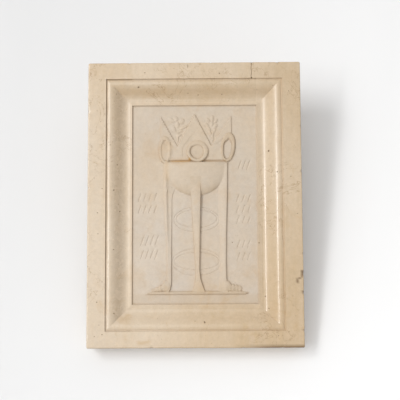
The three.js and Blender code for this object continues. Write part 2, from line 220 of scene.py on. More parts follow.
# Heights up the field with the spacing of the mesh's rows below each
ROW_ZONES = [
    (-4, 1.7), (6.5, 0.85), (26.5, 1.05), (31, 1.5), (49, 1.05), (71, 1.3), (101, 0.85),
]
LAST_ROW_CELL = 1.7


def field_rows():
    rows = [-field_half_height]
    zones = [(up(top), cell) for top, cell in ROW_ZONES]
    for end, cell in zones + [(field_half_height, LAST_ROW_CELL)]:
        count = max(1, int(round((end - rows[-1]) / cell)))
        rows += list(np.linspace(rows[-1], end, count + 1)[1:])
    return rows[1:-1]


def grid_lines(half_size, border, field):
    """Mesh lines from edge to edge: arris, border, moulding, field."""
    turns = [step * math.pi / (2 * ARRIS_STEPS) for step in range(ARRIS_STEPS + 1)]
    arris = [half_size - ARRIS * (1 - math.cos(turn)) for turn in turns]
    count = int(round(border / BORDER_CELL))
    flat = half_size - np.linspace(ARRIS + FLAT_OUTER_GAP, border - FLAT_INNER_GAP, count)
    inner = [half_size - border - inset for inset in frame_lines()]
    positive = arris + list(flat) + inner
    return np.array([-v for v in positive] + field + positive[::-1])


# Relief: each part gives its height over the field, or nothing outside it

NOTHING = -9.0


def dome(radius, power, rise):
    """A round top with steep sides. The higher the power, the flatter it is."""
    height = rise * np.sqrt(np.clip(1 - radius ** power, 0, 1))
    return np.where(radius < 1, height, NOTHING)


# Each leg is four lines up the field, named from left to right in lines, with
# its height over the field at each as a share of its rise
LEFT_LEG = {
    "height": [-0.5, 1.5, 4, 9, 26, 37, 51, 54.5, 57.5, 71.6],
    "left": [-22.9, -22.9, -22.9, -23.0, -23.3, -24.3, -25.3, -25.5, -25.6, -25.8],
    "ridge": [-22.2, -21.8, -21.6, -21.6, -21.9, -22.3, -22.5, -22.5, -22.5, -22.6],
    "shelf": [-21.8, -20.9, -20.4, -20.4, -20.5, -20.8, -21.8, -21.9, -21.9, -22.0],
    "right": [-21.3, -19.9, -19.1, -19, -18.8, -18.6, -18.4, -17.6, -15.6, -15.6],
    "left_rise": [0.1] * 10,
    "ridge_rise": [0.9, 0.9, 0.9, 0.9, 0.9, 1, 1, 1, 1, 1],
    "shelf_rise": [0.95, 0.95, 0.95, 0.9, 0.75, 0.5, 0.32, 0.3, 0.3, 0.3],
    "right_rise": [1, 1, 0.95, 0.85, 0.6, 0.45, 0.3, 0.24, 0.2, 0.2],
    "lines": ["left", "ridge", "shelf", "right"],
    "rise": LEFT_LEG_RISE,
}
MIDDLE_LEG = {
    "height": [-0.5, 3.5, 7, 12, 34, 56.5, 64],
    "left": [-2.7, -0.8, 0.1, 0.4, -1.5, -3.4, -3.4],
    "shelf": [1, 1.6, 1.8, 1.8, 1, 0, 0],
    "ridge": [5.2, 4.2, 3.2, 2.7, 2.6, 3, 3],
    "right": [7.9, 5.9, 4.2, 3.5, 4, 4.8, 4.8],
    "left_rise": [0.1, 0.15, 0.3, 0.4, 0.5, 0.7, 0.75],
    "shelf_rise": [0.4, 0.45, 0.5, 0.58, 0.72, 0.9, 0.93],
    "ridge_rise": [0.5, 0.55, 0.6, 0.66, 0.8, 1, 1],
    "right_rise": [0.5, 0.55, 0.6, 0.64, 0.76, 0.96, 0.96],
    "lines": ["left", "shelf", "ridge", "right"],
    "rise": MIDDLE_LEG_RISE,
}
RIGHT_LEG = {
    "height": [-0.5, 7, 16.5, 34, 51, 71.6],
    "left": [17.9, 19.4, 20, 19.6, 18.6, 18.8],
    "shelf": [21, 21.6, 22, 21.6, 21, 21.4],
    "ridge": [25, 23.6, 23.3, 23.7, 24.5, 25],
    "right": [26.4, 25, 24.7, 25.1, 25.9, 26.4],
    "left_rise": [0.05] * 6,
    "shelf_rise": [0.6, 0.6, 0.6, 0.6, 0.6, 0.6],
    "ridge_rise": [0.9, 0.9, 0.9, 1, 1, 1],
    "right_rise": [0.88, 0.88, 0.88, 0.95, 0.95, 0.95],
    "lines": ["left", "shelf", "ridge", "right"],
    "rise": RIGHT_LEG_RISE,
}
LEGS = [LEFT_LEG, MIDDLE_LEG, RIGHT_LEG]

# Width of a leg's wall, and how far the wall starts outside the leg's outline
LEG_WALL = 0.4
LEG_WALL_OUT = 0.02


def leg_line(leg, name, z):
    height = (z - foot_line) / tripod_height * 100
    return np.interp(height, leg["height"], leg[name])


def leg_rise(leg, x, z):
    places = [across(leg_line(leg, name, z)) for name in leg["lines"]]
    rises = [leg_line(leg, name + "_rise", z) * leg["rise"] for name in leg["lines"]]
    top = rises[0]
    for number in range(3):
        part = portion(x, places[number], places[number + 1] - places[number])
        top = top + (rises[number + 1] - rises[number]) * part
    inside = np.minimum(x - places[0], places[3] - x)
    ends = np.minimum(z - up(leg["height"][0]), up(leg["height"][-1]) - z)
    wall = portion(inside, -LEG_WALL_OUT, LEG_WALL)
    return np.where((inside > -LEG_WALL_OUT) & (ends > 0), top * wall, NOTHING)


RIM = 72.6
BOWL_MIDDLE = 0.9
BOWL_BOTTOM = 53.3
BOWL_HALF_WIDTH = 26.2
BOWL_TOP_DROP = 0.3
BOWL_ROUNDNESS = 2.1
RIM_EDGE = 0.9
RIM_LIP = 0.6
RIM_LIP_HALF_WIDTH = 1.6


def bowl_rise(x, z):
    px = (x - across(BOWL_MIDDLE)) / across(BOWL_HALF_WIDTH)
    pz = (z - up(RIM)) / tall(RIM - BOWL_BOTTOM)
    radius = np.hypot(px, pz)
    dome_top = BOWL_RISE * np.sqrt(np.clip(1 - radius ** BOWL_ROUNDNESS, 0, 1))
    dome_top *= 1 - BOWL_TOP_DROP * np.clip(1 + pz, 0, 1) ** 2
    under_rim = up(RIM) - z - RIM_LIP_HALF_WIDTH
    dome_top = dome_top + RIM_LIP * fading(np.abs(under_rim), RIM_LIP_HALF_WIDTH)
    rim_edge = portion(up(RIM) - z, 0, RIM_EDGE)
    return np.where((radius < 1) & (pz < 0), dome_top * rim_edge, NOTHING)


# Ring handles: middle, outer half sizes, band and how much it thickens at the
# top and at its right side, rise, how far it leans out at the bottom, tilt,
# and whether the crown is cut away inside it
RINGS = [
    {"x": -23.8, "z": 79.4, "across": 3.6, "up": 7.7, "band": 1.6, "thicken": 0.8, "side": 0.0,
     "rise": LEFT_RING_RISE, "lean": 0.0, "tilt": 0.0, "open": False},
    {"x": 2.4, "z": 78.4, "across": 6.3, "up": 6.3, "band": 2.2, "thicken": 0.6, "side": 1.1,
     "rise": MIDDLE_RING_RISE, "lean": 0.42, "tilt": 0.0, "open": False},
    {"x": 27.1, "z": 80.8, "across": 4.0, "up": 8.4, "band": 1.5, "thicken": 2.3, "side": 0.5,
     "rise": RIGHT_RING_RISE, "lean": 0.0, "tilt": 0.12, "open": True},
]

# How sharply a band thickens towards its top and its right, how flat its
# crest is, and the share of half a band at which its hole begins
THICKEN_POWER = 2.6
RING_CREST_POWER = 4
RING_HOLE_SHARE = 0.8


def ring_place(ring, x, z):
    """Signed distance from the band's middle line, half the band and height up."""
    px = x - across(ring["x"])
    pz = z - up(ring["z"])
    turn = ring["tilt"]
    qx = px * math.cos(turn) - pz * math.sin(turn)
    qz = px * math.sin(turn) + pz * math.cos(turn)
    plain = tall(ring["band"])
    reach_x = tall(ring["across"]) - plain / 2
    reach_z = tall(ring["up"]) - plain / 2
    radius = np.hypot(qx / reach_x, qz / reach_z) + 1e-6
    slope = np.hypot(qx / reach_x ** 2, qz / reach_z ** 2) / radius + 1e-6
    upward = np.clip(qz / reach_z / radius, 0, 1) ** THICKEN_POWER
    rightward = np.clip(qx / reach_x / radius, 0, 1) ** THICKEN_POWER
    extra = tall(ring["thicken"]) * upward + tall(ring["side"]) * rightward
    off = (radius - 1) / slope + extra / 2
    return off, (plain + extra) / 2, qz / reach_z


def ring_rise(ring, x, z):
    off, half_band, high = ring_place(ring, x, z)
    crest = ring["rise"] * (1 - ring["lean"] * high)
    return dome(np.abs(off) / half_band, RING_CREST_POWER, crest)


def ring_hole(ring, x, z):
    off, half_band, _high = ring_place(ring, x, z)
    return (off < -half_band * RING_HOLE_SHARE) & ring["open"]


def line_distance(start, end, x, z):
    (ax, az), (bx, bz) = start, end
    ex, ez = bx - ax, bz - az
    t = np.clip(((x - ax) * ex + (z - az) * ez) / (ex * ex + ez * ez), 0, 1)
    return np.hypot(x - ax - t * ex, z - az - t * ez)


def inside_distance(points, x, z):
    """Distance to a closed outline, positive inside it."""
    best = np.full(x.shape, 1e9)
    inside = np.zeros(x.shape, bool)
    for start, end in zip(points, points[1:] + points[:1]):
        best = np.minimum(best, line_distance(start, end, x, z))
        (ax, az), (bx, bz) = start, end
        crosses = (az > z) != (bz > z)
        where = ax + (z - az) / ((bz - az) or 1e-9) * (bx - ax)
        inside ^= crosses & (x < where)
    return np.where(inside, best, -best)


def placed(points):
    return [(across(a), up(b)) for a, b in points]


# Wall around a low raised sheet: its width, and how far it starts outside
SHEET_WALL = 0.9
SHEET_WALL_OUT = 0.3


def sheet_rise(outline, rise, x, z):
    edge = inside_distance(placed(outline), x, z)
    height = rise * portion(edge, -SHEET_WALL_OUT, SHEET_WALL)
    return np.where(edge > -SHEET_WALL_OUT, height, NOTHING)


# Crown of pointed struts, with a lower sheet in the openings between them
PEAKS = [(-27.4, 98.4), (0.0, 100.0), (30.0, 98.8)]
VALLEYS = [(-13.8, 81.4), (13.6, 81.8)]
CROWN_FOOT = 73.3
STRUT_SHARE = 3.2
STRUT_DROP = 10.0
SIDE_STRUT = 0.7 * STRUT_SHARE
INNER_STRUT = 1.2 * STRUT_SHARE
OPENING_WALL = 1.0
SIDE_OPENING_LIFT = 0.5
MIDDLE_OPENING_DIP = 1


def crown_openings():
    (left, left_top), (middle, middle_top), (right, right_top) = PEAKS
    (left_low, left_low_z), (right_low, right_low_z) = VALLEYS
    foot = CROWN_FOOT + STRUT_SHARE / 2
    return [
        [(left + SIDE_STRUT, left_top - STRUT_DROP),
         (left + SIDE_STRUT, left_low_z + SIDE_OPENING_LIFT),
         (left_low - STRUT_SHARE, left_low_z + SIDE_OPENING_LIFT)],
        [(middle, middle_top - STRUT_DROP),
         (left_low + INNER_STRUT, left_low_z - MIDDLE_OPENING_DIP),
         (left_low + INNER_STRUT, foot),
         (right_low - INNER_STRUT, foot),
         (right_low - INNER_STRUT, right_low_z - MIDDLE_OPENING_DIP)],
        [(right - SIDE_STRUT, right_top - STRUT_DROP),
         (right_low + STRUT_SHARE, right_low_z + SIDE_OPENING_LIFT),
         (right - SIDE_STRUT, right_low_z + SIDE_OPENING_LIFT)],
    ]


def crown_rise(x, z):
    left, middle, right = PEAKS
    foot = [(left[0], CROWN_FOOT), (right[0], CROWN_FOOT)]
    height = sheet_rise(foot + [right, VALLEYS[1], middle, VALLEYS[0], left], STRUT_RISE, x, z)
    for opening in crown_openings():
        depth = inside_distance(placed(opening), x, z)
        height = height - ease(depth / OPENING_WALL + 0.5) * (STRUT_RISE - CROWN_SHEET_RISE)
    return height


# The ledge under the feet
LEDGE = [(-39.9, -1.6), (40, -1.6), (42.9, -0.7), (33, 0.2), (-33, 0)]


# Leaf sprays between the peaks. Each leaf has its middle across and up, half
# its width, half its length and its lean.
LEAVES = [
    (-18.5, 96.2, 1.2, 1.7, -0.9), (-14.9, 97.0, 1.2, 1.5, -0.2), (-10.3, 95.6, 1.3, 1.8, 0.6),
    (-8.1, 92.4, 0.65, 2.7, 1.1), (-12.2, 89.9, 0.75, 2.1, 1.3), (-12.4, 87.6, 0.6, 1.7, 1.1),
    (-16.6, 91.6, 0.75, 2.3, -0.35), (-13.7, 93.6, 1.1, 1.9, 0.1), (-13.4, 86.4, 0.4, 3.4, 0.1),
    (10.9, 96.2, 0.9, 1.5, -0.7), (14.5, 97.4, 0.9, 1.6, 0.0), (17.3, 95.8, 0.9, 1.6, 0.6),
    (10.2, 93.4, 0.8, 1.4, -0.8), (14.1, 94.4, 0.9, 1.7, 0.0), (16.9, 92.8, 0.85, 1.6, 0.7),
    (11.8, 91.2, 0.8, 1.5, -0.6), (15.9, 90.2, 0.85, 1.7, 0.5), (12.9, 88.6, 0.7, 1.5, -0.3),
    (14.6, 86.4, 0.7, 3.0, 0.05),
]
LEAF_CREST_POWER = 3


def leaf_rise(x, z, at_x, at_z, half_width, half_length, lean):
    px = x - across(at_x)
    pz = z - up(at_z)
    along = (px * math.sin(lean) + pz * math.cos(lean)) / tall(half_length)
    aside = (px * math.cos(lean) - pz * math.sin(lean)) / tall(half_width)
    return dome(np.hypot(along, aside), LEAF_CREST_POWER, LEAF_RISE)


# Paws: place of the heel, the side that the toes are on, and how much lower
# each toe is than the last
PAWS = [(-22.2, -1, 0.5), (24.6, 1, 0.25)]

# Pad: places out from the heel and up, half sizes and share of the paw's rise
PAD = {"out": 0.6, "up": 2.9, "half_width": 2.4, "half_height": 3.2, "rise": 0.95}
TOES = 4
TOE_PITCH = 2.7
TOE_HALF_WIDTH = 1.3
TOE_HALF_HEIGHT = 2.4
TOE_SINK = 0.2
FIRST_TOE_RISE = 0.9
TOE_RISE_FALL = 0.14
TOE_CREST_POWER = 4


def toe_rise(x, z, at_x, at_z, half_x, half_z, rise):
    px = (x - across(at_x)) / tall(half_x)
    pz = (z - up(at_z)) / tall(half_z)
    return dome(np.hypot(px, pz), TOE_CREST_POWER, rise)


def paw_rise(x, z, heel_x, side, fall):
    height = toe_rise(
        x, z, heel_x + side * PAD["out"], PAD["up"], PAD["half_width"], PAD["half_height"],
        PAW_RISE * PAD["rise"])
    for number in range(TOES):
        toe_x = heel_x + side * TOE_PITCH * (number + 1)
        half_tall = TOE_HALF_HEIGHT - fall * number
        rise = PAW_RISE * (FIRST_TOE_RISE - TOE_RISE_FALL * number)
        toe = toe_rise(x, z, toe_x, half_tall - TOE_SINK, TOE_HALF_WIDTH, half_tall, rise)
        height = np.maximum(height, toe)
    return height


# Oval hoop lines: place up and half sizes
HOOP_LINES = [(40.4, 11.3, 4.9), (39.9, 12.7, 6.9), (16.7, 12.4, 4.8), (16.2, 13.7, 7.4)]
HOOP_MIDDLE = 1.5
HOOP_LINE_HALF_WIDTH = 0.9


def hoop_line_depth(x, z, at_z, half_x, half_z):
    px = (x - across(HOOP_MIDDLE)) / tall(half_x)
    pz = (z - up(at_z)) / tall(half_z)
    radius = np.hypot(px, pz) + 1e-6
    slope = np.hypot(px / tall(half_x), pz / tall(half_z)) / radius + 1e-6
    off = np.abs(radius - 1) / slope
    return HOOP_LINE_DEPTH * fading(off, HOOP_LINE_HALF_WIDTH)


# Blocks of strokes: left, right, bottom, top, rows, strokes in a row
STROKE_BLOCKS = [
    (-46.4, -29.6, 42.6, 55.9, 2, 4),
    (-44, -28.8, 17, 32, 2, 4),
    (34.8, 45.2, 67, 74.2, 1, 3),
    (32.4, 46, 36.6, 54.8, 3, 3),
    (33, 45.2, 16, 29.6, 2, 3),
]
STROKE_SLANT = 0.35
STROKE_HALF_WIDTH = 1.15
STROKE_SHARE_OF_ROW = 0.4


def stroke_depth(x, z):
    cut = np.zeros(x.shape)
    for left, right, bottom, top, rows, per_row in STROKE_BLOCKS:
        row_pitch = (top - bottom) / rows
        pitch = (right - left) / per_row
        for row in range(rows):
            for number in range(per_row):
                px = x - across(left + pitch * (number + 0.5))
                pz = z - up(bottom + row_pitch * (row + 0.5))
                along = px * math.sin(STROKE_SLANT) + pz * math.cos(STROKE_SLANT)
                aside = np.abs(px * math.cos(STROKE_SLANT) - pz * math.sin(STROKE_SLANT))
                part = portion(np.abs(along), 0, tall(row_pitch * STROKE_SHARE_OF_ROW))
                reach = STROKE_HALF_WIDTH * np.sqrt(1 - part ** 2)
                cut = np.maximum(cut, STROKE_DEPTH * fading(aside, reach + 1e-6))
    return cut


def relief(x, z):
    """Height over the field, negative in the cuts."""
    cuts = stroke_depth(x, z)
    for hoop_line in HOOP_LINES:
        cuts = np.maximum(cuts, hoop_line_depth(x, z, *hoop_line))
    height = -cuts
    crown = crown_rise(x, z)
    for ring in RINGS:
        crown = np.where(ring_hole(ring, x, z), NOTHING, crown)
    parts = [crown, bowl_rise(x, z), sheet_rise(LEDGE, LEDGE_RISE, x, z)]
    parts += [leg_rise(leg, x, z) for leg in LEGS]
    parts += [ring_rise(ring, x, z) for ring in RINGS]
    parts += [leaf_rise(x, z, *leaf) for leaf in LEAVES]
    parts += [paw_rise(x, z, *paw) for paw in PAWS]
    for part in parts:
        height = np.where(part > NOTHING / 2, np.maximum(height, part), height)
    return height


# Wear

# Measured pits: place across and up, radius and depth
PITS = [
    (-113.3, 18.9, 1.1, 0.9), (-79, 165.5, 1.2, 0.9), (-108.9, 55, 0.9, 0.7),
    (-8.8, 194.6, 0.9, 0.7), (35.8, 184, 1.0, 0.7), (104.8, 73.8, 1.3, 1.1),
    (146.2, 60.6, 0.9, 0.7), (-105.5, -10.6, 0.9, 0.7), (-113.1, -64.2, 0.9, 0.7),
    (-112.2, -152.6, 1.0, 0.8), (12.8, -165.1, 1.4, 1.1), (-134.4, -195.6, 1.0, 0.8),
    (34.8, -195.8, 1.1, 0.8), (97.6, -130.2, 1.0, 0.8), (89.8, -55.9, 1.0, 0.8),
    (102.2, -146.8, 0.9, 0.7), (52.4, -54.8, 0.9, 0.6), (115.9, 43.1, 0.9, 0.7),
    (81.3, 177.6, 1.0, 1.2),
]

# Seeded pits: how many, their radii, depth as a share of the radius, room to
# the next pit and to the slab's edge, and where on the moulding they may be
SMALL_PITS = 46
SMALL_PIT_RADII = (0.45, 0.9)
SMALL_PIT_DEPTH = 0.7
PIT_ROOM = 9
PIT_EDGE_ROOM = 6
PIT_BORDER_ROOM = 3
PITTED_SWEEP = (9, 24)

# Chips off the slab's edges and beside them: place, reach and depth
CHIPS = [
    (149.5, -96.9, 3.6, 1.5), (149.8, -124.3, 2.6, 1.3), (149.9, 44, 2.2, 0.9),
    (149.9, -71, 2.0, 0.8), (149.9, 108, 1.8, 0.7), (149.9, -176, 2.4, 0.9),
    (-149.9, 131, 2.0, 0.8), (-149.9, 22, 2.2, 0.8), (-149.9, -88, 1.8, 0.7),
    (-92, 199.9, 2.2, 0.7), (24, 199.9, 1.8, 0.6), (118, 199.9, 2.4, 0.8),
    (81.3, 199.9, 2.0, 1.0), (-60, -199.9, 2.4, 0.8), (66, -199.9, 2.0, 0.8),
    (121, -199.9, 2.6, 1.0), (141.9, -106.5, 2.0, 0.9),
]

# Hairline crack across the upper border
CRACK_X = 81.3
CRACK_HALF_WIDTH = 0.45
CRACK_DEPTH = 0.8


def small_pits():
    """Seeded pits on the border and the sweep of the moulding."""
    draw = np.random.default_rng(11)
    pits = []
    while len(pits) < SMALL_PITS:
        px = draw.uniform(-half_width + PIT_EDGE_ROOM, half_width - PIT_EDGE_ROOM)
        pz = draw.uniform(-half_height + PIT_EDGE_ROOM, half_height - PIT_EDGE_ROOM)
        inset = inset_from_border(px, pz)
        in_place = inset < -PIT_BORDER_ROOM or PITTED_SWEEP[0] < inset < PITTED_SWEEP[1]
        near = min(math.hypot(px - pit[0], pz - pit[1]) for pit in PITS + pits)
        if in_place and near > PIT_ROOM:
            radius = draw.uniform(*SMALL_PIT_RADII)
            pits.append((px, pz, radius, radius * SMALL_PIT_DEPTH))
    return pits


ALL_PITS = PITS + small_pits()


def pit_outline(turn, number):
    """How far a pit's uneven outline reaches at an angle, about 1."""
    return 1 + 0.22 * np.sin(2 * turn + number) + 0.12 * np.sin(3 * turn + 2 * number)


def pit_depth(x, z):
    cut = np.zeros(np.shape(x))
    for number, (px, pz, radius, depth) in enumerate(ALL_PITS):
        near = (np.abs(x - px) < 2 * radius) & (np.abs(z - pz) < 2 * radius)
        outline = radius * pit_outline(np.arctan2(z - pz, x - px), number)
        reach = np.hypot(x - px, z - pz) / outline
        cut = np.where(near, np.maximum(cut, depth * np.sqrt(np.clip(1 - reach ** 2, 0, 1))), cut)
    return cut


def chip_depth(x, z):
    cut = np.zeros(np.shape(x))
    for number, (px, pz, reach, depth) in enumerate(CHIPS):
        uneven = 1 + 0.2 * np.sin(3 * np.arctan2(z - pz, x - px) + number)
        cut = np.maximum(cut, depth * fading(np.hypot(x - px, z - pz), reach * uneven, 1.15))
    return cut


def crack_centre(z):
    return CRACK_X + 0.5 * np.sin(z * 0.55) + 0.25 * np.sin(z * 1.7)


def crack_depth(x, z):
    on_border = z > opening_half_height - 0.5
    depth = CRACK_DEPTH * fading(np.abs(x - crack_centre(z)), CRACK_HALF_WIDTH)
    return np.where(on_border, depth, 0)


# Unevenness left by carving and honing by hand: height, lump size and seed
UNDULATIONS = [(0.16, 33, 5), (0.07, 12, 6), (0.022, 4.3, 7)]

# How far the moulding's lines wander, and how uneven the arris is
LINE_WANDER = 0.12
ARRIS_WEAR = 0.35


def undulation(x, z):
    return sum(height * soft_noise(x, z, size, seed) for height, size, seed in UNDULATIONS)


def surface_depth(x, z):
    """Depth below the front plane anywhere on the front."""
    inset = inset_from_border(x, z)
    wander = LINE_WANDER * soft_noise(x, z, 17, 8)
    depth = frame_depth(np.where(inset > 0.5, inset + wander, inset))
    in_field = inset > moulding_width - 1e-6
    depth = np.where(in_field, FIELD_DEPTH - relief(x, z), depth)
    bevel = ARRIS * (1 + ARRIS_WEAR * soft_noise(x, z, 9, 9))
    over = np.clip(bevel - inset_from_edge(x, z), 0, bevel)
    depth = depth + bevel - np.sqrt(np.clip(bevel ** 2 - over ** 2, 0, None))
    depth = depth + pit_depth(x, z) + chip_depth(x, z) + crack_depth(x, z)
    return np.clip(depth + undulation(x, z), 0, None)


# Mesh of the whole stone

# How far above or below the field's ends the lines drawn onto the legs and the
# crack take to run straight again
LEG_FADE = 12
CRACK_FADE = 30


def nearest(lines, value, taken):
    order = np.argsort(np.abs(lines - value))
    for index in order:
        if lines[index] > taken[-1] + 1e-6:
            return lines[index]
    return value


def leg_columns(x_lines, z):
    """The field's upright lines at one height, drawn onto the legs' edges."""
    middle = up(34)
    knots = [-field_half_width]
    targets = [-field_half_width]
    for leg in LEGS:
        for name, steps in (("left", (0.0, LEG_WALL)), ("right", (-LEG_WALL, 0.0))):
            for step in steps:
                place = across(leg_line(leg, name, middle)) + step
                knots.append(nearest(x_lines, place, knots))
                targets.append(across(leg_line(leg, name, z)) + step)
    knots.append(field_half_width)
    targets.append(field_half_width)
    return np.interp(x_lines, knots, targets)


def crack_columns(x_lines, z):
    """Three upright lines drawn onto the crack."""
    centre = crack_centre(z)
    first = int(np.argmin(np.abs(x_lines - CRACK_X))) - 1
    knots = [x_lines[0], *x_lines[first:first + 3], x_lines[-1]]
    sides = [centre - CRACK_HALF_WIDTH, centre, centre + CRACK_HALF_WIDTH]
    return np.interp(x_lines, knots, [x_lines[0], *sides, x_lines[-1]])


def front_net():
    """Places across and up of the front's net of vertices."""
    columns = int(round(field_width / FIELD_CELL))
    field_columns = list(np.linspace(-field_half_width, field_half_width, columns + 1)[1:-1])
    x_lines = grid_lines(half_width, BORDER_SIDES, field_columns)
    z_lines = grid_lines(half_height, BORDER_ENDS, field_rows())
    x = np.tile(x_lines, (len(z_lines), 1))
    z = np.tile(z_lines[:, None], (1, len(x_lines)))
    in_field = np.abs(x_lines) <= field_half_width + 1e-6
    straight = x_lines[in_field]
    for row, height in enumerate(z_lines):
        if abs(height) <= field_half_height:
            fade = ease((field_half_height - abs(height)) / LEG_FADE)
            x[row, in_field] += (leg_columns(straight, height) - straight) * fade
        elif height > field_half_height:
            fade = ease((height - field_half_height) / CRACK_FADE)
            x[row, in_field] += (crack_columns(straight, height) - straight) * fade
    return x, z


def rounded_corners(x, z):
    cx = half_width - CORNER_ROUND
    cz = half_height - CORNER_ROUND
    ox = np.clip(np.abs(x) - cx, 0, None)
    oz = np.clip(np.abs(z) - cz, 0, None)
    reach = np.hypot(ox, oz)
    scale = np.where((ox > 0) & (oz > 0), np.maximum(ox, oz) / np.maximum(reach, 1e-9), 1)
    new_x = np.where(ox > 0, np.sign(x) * (cx + ox * scale), x)
    new_z = np.where(oz > 0, np.sign(z) * (cz + oz * scale), z)
    return new_x, new_z


def shrunk(px, pz, draw_in):
    """A place moved in towards the middle, by draw_in where it is at the edge."""
    return px * (1 - draw_in / half_width), pz * (1 - draw_in / half_height)


def zipped(first, second, first_at, second_at):
    """Triangles between two open rows of vertices with known places along."""
    faces = []
    a = b = 0
    while a + 1 < len(first) or b + 1 < len(second):
        go_first = b + 1 == len(second) or (
            a + 1 < len(first) and first_at[a + 1] <= second_at[b + 1])
        if go_first:
            faces.append((first[a], first[a + 1], second[b]))
            a += 1
        else:
            faces.append((first[a], second[b + 1], second[b]))
            b += 1
    return faces


coarse_x = np.linspace(-half_width, half_width, int(round(PANEL_WIDTH / SIDE_CELL)) + 1)
coarse_z = np.linspace(-half_height, half_height, int(round(PANEL_HEIGHT / SIDE_CELL)) + 1)

# A pit's rings as shares of its radius, how much larger its block of cells is
# than the outer ring, and how many rows at the slab's edges hold no pit
PIT_SIDES = 10
PIT_RINGS = [1.35, 1.0, 0.8, 0.45]
PIT_BLOCK_ROOM = 1.35
EDGE_ROWS = 6


def pit_blocks(x, z):
    """Blocks of cells that hold a pit, as row and column ranges."""
    blocks = []
    taken = np.zeros(x.shape, bool)
    last_row, last_column = len(z) - 1, x.shape[1] - 1
    for number, (px, pz, radius, _depth) in enumerate(ALL_PITS):
        room = radius * PIT_RINGS[0] * PIT_BLOCK_ROOM
        row_low = int(np.searchsorted(z[:, 0], pz - room)) - 1
        row_high = int(np.searchsorted(z[:, 0], pz + room))
        middle = x[(row_low + row_high) // 2]
        column_low = int(np.searchsorted(middle, px - room)) - 1
        column_high = int(np.searchsorted(middle, px + room))
        from_edge = min(row_low, column_low, last_row - row_high, last_column - column_high)
        area = (slice(row_low, row_high + 1), slice(column_low, column_high + 1))
        if from_edge < EDGE_ROWS or taken[area].any():
            continue
        taken[area] = True
        blocks.append((number, row_low, row_high, column_low, column_high))
    return blocks


def from_lowest_turn(loop, places, centre):
    """A closed loop from its lowest angle about a centre, with its angles."""
    turns = [math.atan2(places[v][2] - centre[1], places[v][0] - centre[0]) for v in loop]
    first = turns.index(min(turns))
    turns = turns[first:] + turns[:first]
    return loop[first:] + loop[:first + 1], turns + [turns[0] + 2 * math.pi]


def stitched(outer, inner, places, centre):
    """Triangles between two closed loops that run the same way round."""
    outer, outer_turns = from_lowest_turn(outer, places, centre)
    inner, inner_turns = from_lowest_turn(inner, places, centre)
    return zipped(outer, inner, outer_turns, inner_turns)


def add_pit(block, index, vertices, faces):
    number, row_low, row_high, column_low, column_high = block
    px, pz, radius, _depth = ALL_PITS[number]
    loop = [
        *index[row_low, column_low:column_high],
        *index[row_low:row_high, column_high],
        *index[row_high, column_low + 1:column_high + 1][::-1],
        *index[row_low + 1:row_high + 1, column_low][::-1],
    ]
    for share in PIT_RINGS:
        ring = []
        for side in range(PIT_SIDES):
            turn = 2 * math.pi * side / PIT_SIDES + number
            reach = radius * share * pit_outline(turn, number)
            ring.append(len(vertices))
            vertices.append((px + reach * math.cos(turn), 0.0, pz + reach * math.sin(turn)))
        faces += stitched(loop, ring, vertices, (px, pz))
        loop = ring
    centre = len(vertices)
    vertices.append((px, 0.0, pz))
    for side in range(PIT_SIDES):
        faces.append((loop[side], loop[(side + 1) % PIT_SIDES], centre))


def cell_faces(points, index, blocks):
    """Two triangles for each cell of the net, but for the pits' blocks."""
    whole = np.ones(index.shape, bool)
    for _number, row_low, row_high, column_low, column_high in blocks:
        whole[row_low:row_high, column_low:column_high] = False
    a, b = index[:-1, :-1], index[:-1, 1:]
    c, d = index[1:, 1:], index[1:, :-1]
    positive = points[:-1, :-1] > 0
    same_side = (positive[..., 0] == positive[..., 2])[..., None]
    first = np.stack([a, b, np.where(same_side[..., 0], c, d)], -1)
    second = np.where(same_side, np.stack([a, c, d], -1), np.stack([b, c, d], -1))
    pairs = np.stack([first, second], 2)[whole[:-1, :-1]]
    return [tuple(face) for face in pairs.reshape(-1, 3).tolist()]


# How much a chip on the arris also draws the edge in
CHIP_DRAW_IN = 0.6


def front_mesh():
    """Vertices and faces of the front, with the net's index of its vertices."""
    x, z = front_net()
    y = -PANEL_THICKNESS + surface_depth(x, z)
    draw_in = np.where(inset_from_edge(x, z) < ARRIS, chip_depth(x, z) * CHIP_DRAW_IN, 0)
    x, z = shrunk(*rounded_corners(x, z), draw_in)
    points = np.stack([x, y, z], -1)
    vertices = [tuple(p) for p in points.reshape(-1, 3)]
    index = np.arange(x.size).reshape(x.shape)
    blocks = pit_blocks(x, z)
    faces = cell_faces(points, index, blocks)
    first_new = len(vertices)
    for block in blocks:
        add_pit(block, index, vertices, faces)
    added = np.array(vertices[first_new:])
    added[:, 1] = -PANEL_THICKNESS + surface_depth(added[:, 0], added[:, 2])
    vertices[first_new:] = [tuple(p) for p in added]
    return vertices, faces, index


# Sides and back on a coarser net: gap from the arris to the first loop, number
# of loops and the bevel at the back
FIRST_LOOP_GAP = 2
SIDE_LOOPS = 5
BACK_BEVEL = 0.8


def add_sides(vertices, faces):
    """Loops around the sides. Returns the first and the last."""
    places = [(v, -half_height) for v in coarse_x]
    places += [(half_width, v) for v in coarse_z[1:]]
    places += [(v, half_height) for v in coarse_x[::-1][1:]]
    places += [(-half_width, v) for v in coarse_z[::-1][1:-1]]
    first_level = -PANEL_THICKNESS + ARRIS + FIRST_LOOP_GAP
    levels = list(np.linspace(first_level, -BACK_BEVEL, SIDE_LOOPS)) + [0.0]
    loops = []
    for level in levels:
        loops.append(range(len(vertices), len(vertices) + len(places)))
        for px, pz in places:
            qx, qz = rounded_corners(np.array(px), np.array(pz))
            qx, qz = shrunk(float(qx), float(qz), BACK_BEVEL if level == 0.0 else 0.0)
            vertices.append((qx, level, qz))
    for first, second in zip(loops, loops[1:]):
        for number in range(len(first)):
            after = (number + 1) % len(first)
            faces.append((first[number], first[after], second[after], second[number]))
    return list(loops[0]), list(loops[-1])


